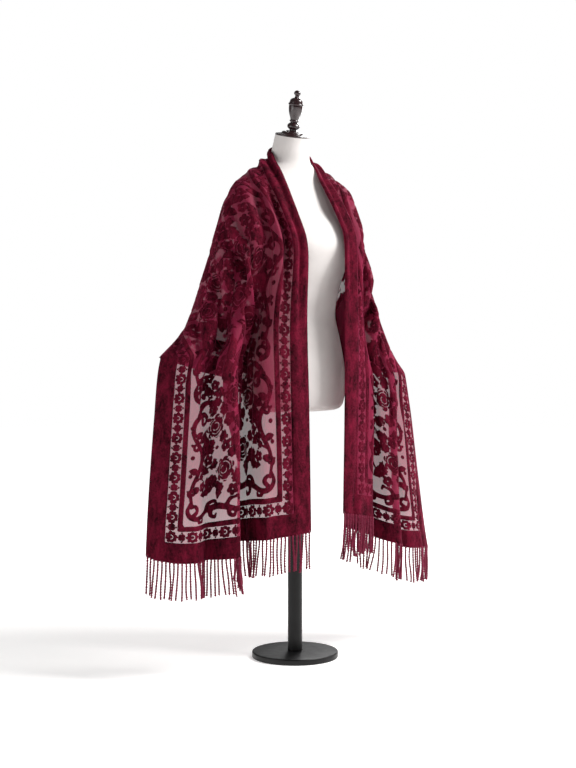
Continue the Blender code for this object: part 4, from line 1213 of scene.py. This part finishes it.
BLOOMS = table(Bloom, ("rose", 142, 72, 35, 7, 20), ("rose", 234, 160, 40, 8, 90),
               ("rose", 100, 200, 33, 7, 130), ("rose", 166, 262, 34, 7, 60),
               ("rose", 234, 348, 33, 8, 90), ("flower", 82, 110, 17, 5, 30),
               ("flower", 58, 40, 16, 5, 70), ("flower", 146, 136, 17, 5, 40),
               ("flower", 150, 204, 19, 5, 50), ("flower", 112, 318, 18, 5, 60),
               ("flower", 92, 350, 16, 5, 10), ("flower", 150, 350, 17, 5, 80),
               ("flower", 196, 304, 16, 5, 20), ("flower", 168, 12, 17, 5, 45),
               ("flower", 234, 60, 18, 6, 0), ("flower", 234, 250, 18, 6, 30), ("bud", 12, 76, 6, 0, 0),
               ("bud", 16, 130, 6.5, 0, 0), ("bud", 78, 250, 6, 0, 0), ("bud", 110, 140, 5.5, 0, 0),
               ("bud", 168, 172, 6, 0, 0), ("bud", 170, 190, 5, 0, 0), ("bud", 212, 214, 5.5, 0, 0),
               ("bud", 206, 88, 5.5, 0, 0), ("bud", 122, 290, 5.5, 0, 0), ("bud", 44, 348, 5.5, 0, 0),
               ("bud", 60, 78, 5, 0, 0), ("bud", 128, 158, 5, 0, 0))
SWAG_STEMS = table(Stem, ([(16, 66), (10, 44), (20, 26), (40, 20), (62, 26), (88, 38), (118, 44),
                     (148, 38), (176, 28), (204, 26), (234, 34)],
                    [4, 6, 7.5, 7.5, 7, 8.5, 9.5, 8.5, 7, 7.5, 9]),
                   ([(44, 20), (50, 8), (62, 8), (64, 16)], [7, 5.5, 5, 4]),
                   ([(96, 38), (98, 20), (110, 14), (114, 22)], [8, 6, 5, 4]),
                   ([(158, 34), (160, 16), (172, 10), (176, 18)], [7.5, 6, 5, 4]),
                   ([(210, 26), (212, 12), (224, 9)], [7, 5.5, 4.5]),
                   ([(24, 28), (38, 44), (30, 58), (20, 54)], [6, 6.5, 5, 4]),
                   ([(76, 32), (88, 54), (106, 60), (112, 50)], [6, 6, 5, 4]),
                   ([(150, 40), (162, 58), (182, 62), (188, 52)], [6.5, 6, 5, 4]))


def draw_repeat(drawing, place, mirror, bottom):
    """One repeat of one half of the field, mirrored about the middle where asked."""
    def at(x, y):
        across = x / HALF_DRAWN * FIELD_WIDTH / 2
        return FIELD_EDGE + (FIELD_WIDTH - across if mirror else across), place + y / 1000

    def turned_to(degrees):
        return radians(degrees) if not mirror else pi - radians(degrees)
    hand = -1 if mirror else 1
    for stem in STEMS + (SWAG_STEMS if bottom else []):
        lift = -1000 * SWAG_HEIGHT if stem in SWAG_STEMS else 0
        drawing.stroke([at(x, y + lift) for x, y in stem.points], [radius / 1000 for radius in stem.radii])
    for scroll in SCROLLS:
        drawing.scroll(*at(scroll.x, scroll.y), scroll.radius / 1000, turned_to(scroll.turn),
                       hand * scroll.hand, scroll.width / 1000)
    for leaf in LEAVES:
        drawing.leaf(*at(leaf.x, leaf.y), turned_to(leaf.turn), leaf.length / 1000,
                     leaf.width / 1000, leaf.teeth)
    for bloom in BLOOMS:
        x, y = at(bloom.x, bloom.y)
        drawing.cut(x, y, bloom.radius / 1000 + 0.006,
                    lambda dx, dy: bloom.radius / 1000 + BARE_ROUND_BLOOM - np.hypot(dx, dy))
        if bloom.kind == "rose":
            drawing.rose(x, y, bloom.radius / 1000, turned_to(bloom.turn))
        elif bloom.kind == "flower":
            drawing.blossom(x, y, bloom.radius / 1000, bloom.petals, turned_to(bloom.turn), eye=FLOWER_EYE)
        else:
            drawing.dot(x, y, bloom.radius / 1000)


def field(across, along):
    """The drawing of a stretch of the field; both halves of the stole read upwards from their hems."""
    up = HALF_LENGTH - np.abs(along)
    turned_over = up[0, 0] > up[0, -1]
    drawing = Drawing(across[:, ::-1], up[:, ::-1]) if turned_over else Drawing(across, up)
    for repeat in range(REPEATS):
        place = FIELD_EDGE + SWAG_HEIGHT + repeat * REPEAT
        for mirror in (False, True):
            draw_repeat(drawing, place, mirror, repeat == 0)
    level = drawing.level[:, ::-1] if turned_over else drawing.level
    sides = np.minimum(across - FIELD_EDGE, CLOTH_WIDTH - FIELD_EDGE - across)
    return np.minimum(level, np.minimum(sides, up - FIELD_EDGE) - FIELD_INSET)


FIELD_RANGE = (FIELD_EDGE, CLOTH_WIDTH - FIELD_EDGE)
FIELD_MIDDLE = FIELD_HEIGHT / 2
stretches = {"pile_field_right_front": (-FIELD_HEIGHT, -FIELD_MIDDLE),
             "pile_field_right_back": (-FIELD_MIDDLE, 0),
             "pile_field_left_back": (0, FIELD_MIDDLE),
             "pile_field_left_front": (FIELD_MIDDLE, FIELD_HEIGHT)}
for name, along_range in stretches.items():
    pile_pieces.append(raise_pile(name, FIELD_RANGE, along_range, DRAWN_CELL, field))


# The edges: the cloth is turned in all the way round to a hand-rolled and slip-stitched hem, 2.4 mm
# thick, with the pile outside.
HEM_RADIUS = 0.0012
HEM_LIFT = 0.0006
HEM_STEP = 0.007
HEM_SIDES = 6

rounds_across = np.linspace(0, CLOTH_WIDTH, round(CLOTH_WIDTH / HEM_STEP) + 1)[:-1]
rounds_along = np.linspace(-HALF_LENGTH, HALF_LENGTH, round(2 * HALF_LENGTH / HEM_STEP) + 1)[:-1]
around = np.concatenate([
    np.column_stack([rounds_across, np.full(len(rounds_across), -HALF_LENGTH)]),
    np.column_stack([np.full(len(rounds_along), CLOTH_WIDTH), rounds_along]),
    np.column_stack([CLOTH_WIDTH - rounds_across, np.full(len(rounds_across), HALF_LENGTH)]),
    np.column_stack([np.zeros(len(rounds_along)), -rounds_along])])
edge_line = on_cloth(around[:, 0], around[:, 1], np.full(len(around), HEM_LIFT))
bm = bmesh.new()
bmesh.ops.create_grid(bm, x_segments=len(edge_line), y_segments=HEM_SIDES, size=0.5)
ahead = np.roll(edge_line, -1, axis=0) - np.roll(edge_line, 1, axis=0)
ahead /= np.linalg.norm(ahead, axis=1)[:, None]
face_out = on_cloth(around[:, 0], around[:, 1], np.ones(len(around)))
face_out -= on_cloth(around[:, 0], around[:, 1], np.zeros(len(around)))
aside = np.cross(ahead, face_out)
aside /= np.linalg.norm(aside, axis=1)[:, None]
above = np.cross(aside, ahead)
for vertex in bm.verts:
    i = round((vertex.co.x + 0.5) * len(edge_line)) % len(edge_line)
    angle = 2 * pi * round((vertex.co.y + 0.5) * HEM_SIDES) / HEM_SIDES
    vertex.co = edge_line[i] + HEM_RADIUS * (cos(angle) * aside[i] + sin(angle) * above[i])
bmesh.ops.remove_doubles(bm, verts=bm.verts, dist=0.00001)
bmesh.ops.recalc_face_normals(bm, faces=bm.faces)
rolled_hem = add_piece("rolled_hem", bm, plush)
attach(rolled_hem, "root")


# The fringe: sixty tassels at each hem, knotted in by hand. Each is a two-ply cord of wine viscose
# yarn, and each hangs a little differently.
TASSELS = 60
TASSEL_LENGTH = 0.104
PLY_RADIUS = 0.00195
PLY_OFFSET = 0.00155
PLY_SIDES = 5
PLY_TURNS = 7.0
PLY_STEPS = 35
KNOT_RADIUS = 0.0031
FILAMENT = 0.0012
DYE_PATCH = 0.012

# Twisted viscose yarn: fine filaments roughen each ply and give it a silky sheen. They are drawn at
# 1.2 mm, coarser than they are, so that they show.
yarn, tree, shader = new_material("twisted_viscose_yarn", {
    "Roughness": 0.5, "Sheen Weight": 0.4, "Sheen Roughness": 0.35, "Sheen Tint": to_linear("C05878"),
    "Specular IOR Level": 0.12})
place = add_node(tree, "ShaderNodeTexCoord").outputs["Object"]
filaments = add_node(tree, "ShaderNodeTexNoise", {"Vector": place, "Scale": 1 / FILAMENT, "Detail": 2.0})
dyed = add_node(tree, "ShaderNodeTexNoise", {"Vector": place, "Scale": 1 / DYE_PATCH, "Detail": 3.0})
wine = add_node(tree, "ShaderNodeMix", {0: dyed.outputs["Fac"], 6: to_linear("5E1229"),
                                        7: to_linear("9E3452")}, data_type="RGBA")
tree.links.new(wine.outputs[2], shader.inputs["Base Color"])
fibre = add_node(tree, "ShaderNodeBump", {"Height": filaments.outputs["Fac"], "Strength": 0.4,
                                          "Distance": 0.0003})
tree.links.new(fibre.outputs["Normal"], shader.inputs["Normal"])


def tassel_pattern():
    """One straight tassel: its knot at the top and two plies twisted round each other below."""
    pattern = bmesh.new()
    for ply in range(2):
        made = bmesh.ops.create_circle(pattern, cap_ends=True, segments=PLY_SIDES, radius=PLY_RADIUS)
        start = Matrix.Rotation(ply * pi, 4, "Z") @ Matrix.Translation((PLY_OFFSET, 0, 0))
        bmesh.ops.transform(pattern, matrix=start, verts=made["verts"])
        faces = list({face for vertex in made["verts"] for face in vertex.link_faces})
        bmesh.ops.spin(pattern, geom=faces + list(faces[0].edges) + made["verts"], cent=(0, 0, 0),
                       axis=(0, 0, 1), dvec=(0, 0, -TASSEL_LENGTH / PLY_STEPS), angle=2 * pi * PLY_TURNS,
                       steps=PLY_STEPS, use_merge=False, use_duplicate=False)
    knot = bmesh.ops.create_icosphere(pattern, subdivisions=2, radius=KNOT_RADIUS)
    bmesh.ops.transform(pattern, matrix=Matrix.Diagonal((1.0, 0.85, 1.15, 1.0)), verts=knot["verts"])
    bmesh.ops.recalc_face_normals(pattern, faces=pattern.faces)
    mesh = bpy.data.meshes.new("tassel_pattern")
    pattern.to_mesh(mesh)
    pattern.free()
    return mesh


pattern = tassel_pattern()
chance = np.random.default_rng(7)
for name, node, hem_side in (("fringe_right_tassels", "fringe_right", RIGHT),
                             ("fringe_left_tassels", "fringe_left", LEFT)):
    places = (np.arange(TASSELS) + 0.5) / TASSELS * CLOTH_WIDTH
    tops = on_cloth(places, np.full(TASSELS, hem_side * HALF_LENGTH), np.full(TASSELS, 0.0003))
    bm = bmesh.new()
    drift = np.zeros(2)
    for top in tops:
        known = len(bm.verts)
        bm.from_mesh(pattern)
        bm.verts.ensure_lookup_table()
        fresh = bm.verts[known:]
        stretch = chance.uniform(0.95, 1.03)
        bmesh.ops.transform(bm, matrix=Matrix.Rotation(chance.uniform(0, 2 * pi), 4, "Z"), verts=fresh)
        drift = 0.75 * drift + chance.normal(0, 0.0044, 2)
        sway = drift + chance.normal(0, 0.0016, 2)
        curl = chance.normal(0, 0.0018, 2)
        phase = chance.uniform(0, 6)
        for vertex in fresh:
            hang = max(0.0, -vertex.co.z / TASSEL_LENGTH)
            swing = curl * np.sin(4.5 * hang + phase) * hang ** 0.5 + sway * hang ** 1.6
            vertex.co.x += swing[0]
            vertex.co.y += swing[1]
            vertex.co.z *= stretch
        bmesh.ops.translate(bm, vec=Vector(top) - Vector((0, 0, 0.0014)), verts=fresh)
    fringe = add_piece(name, bm, yarn)
    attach(fringe, "root")
    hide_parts(node)
bpy.data.meshes.remove(pattern)
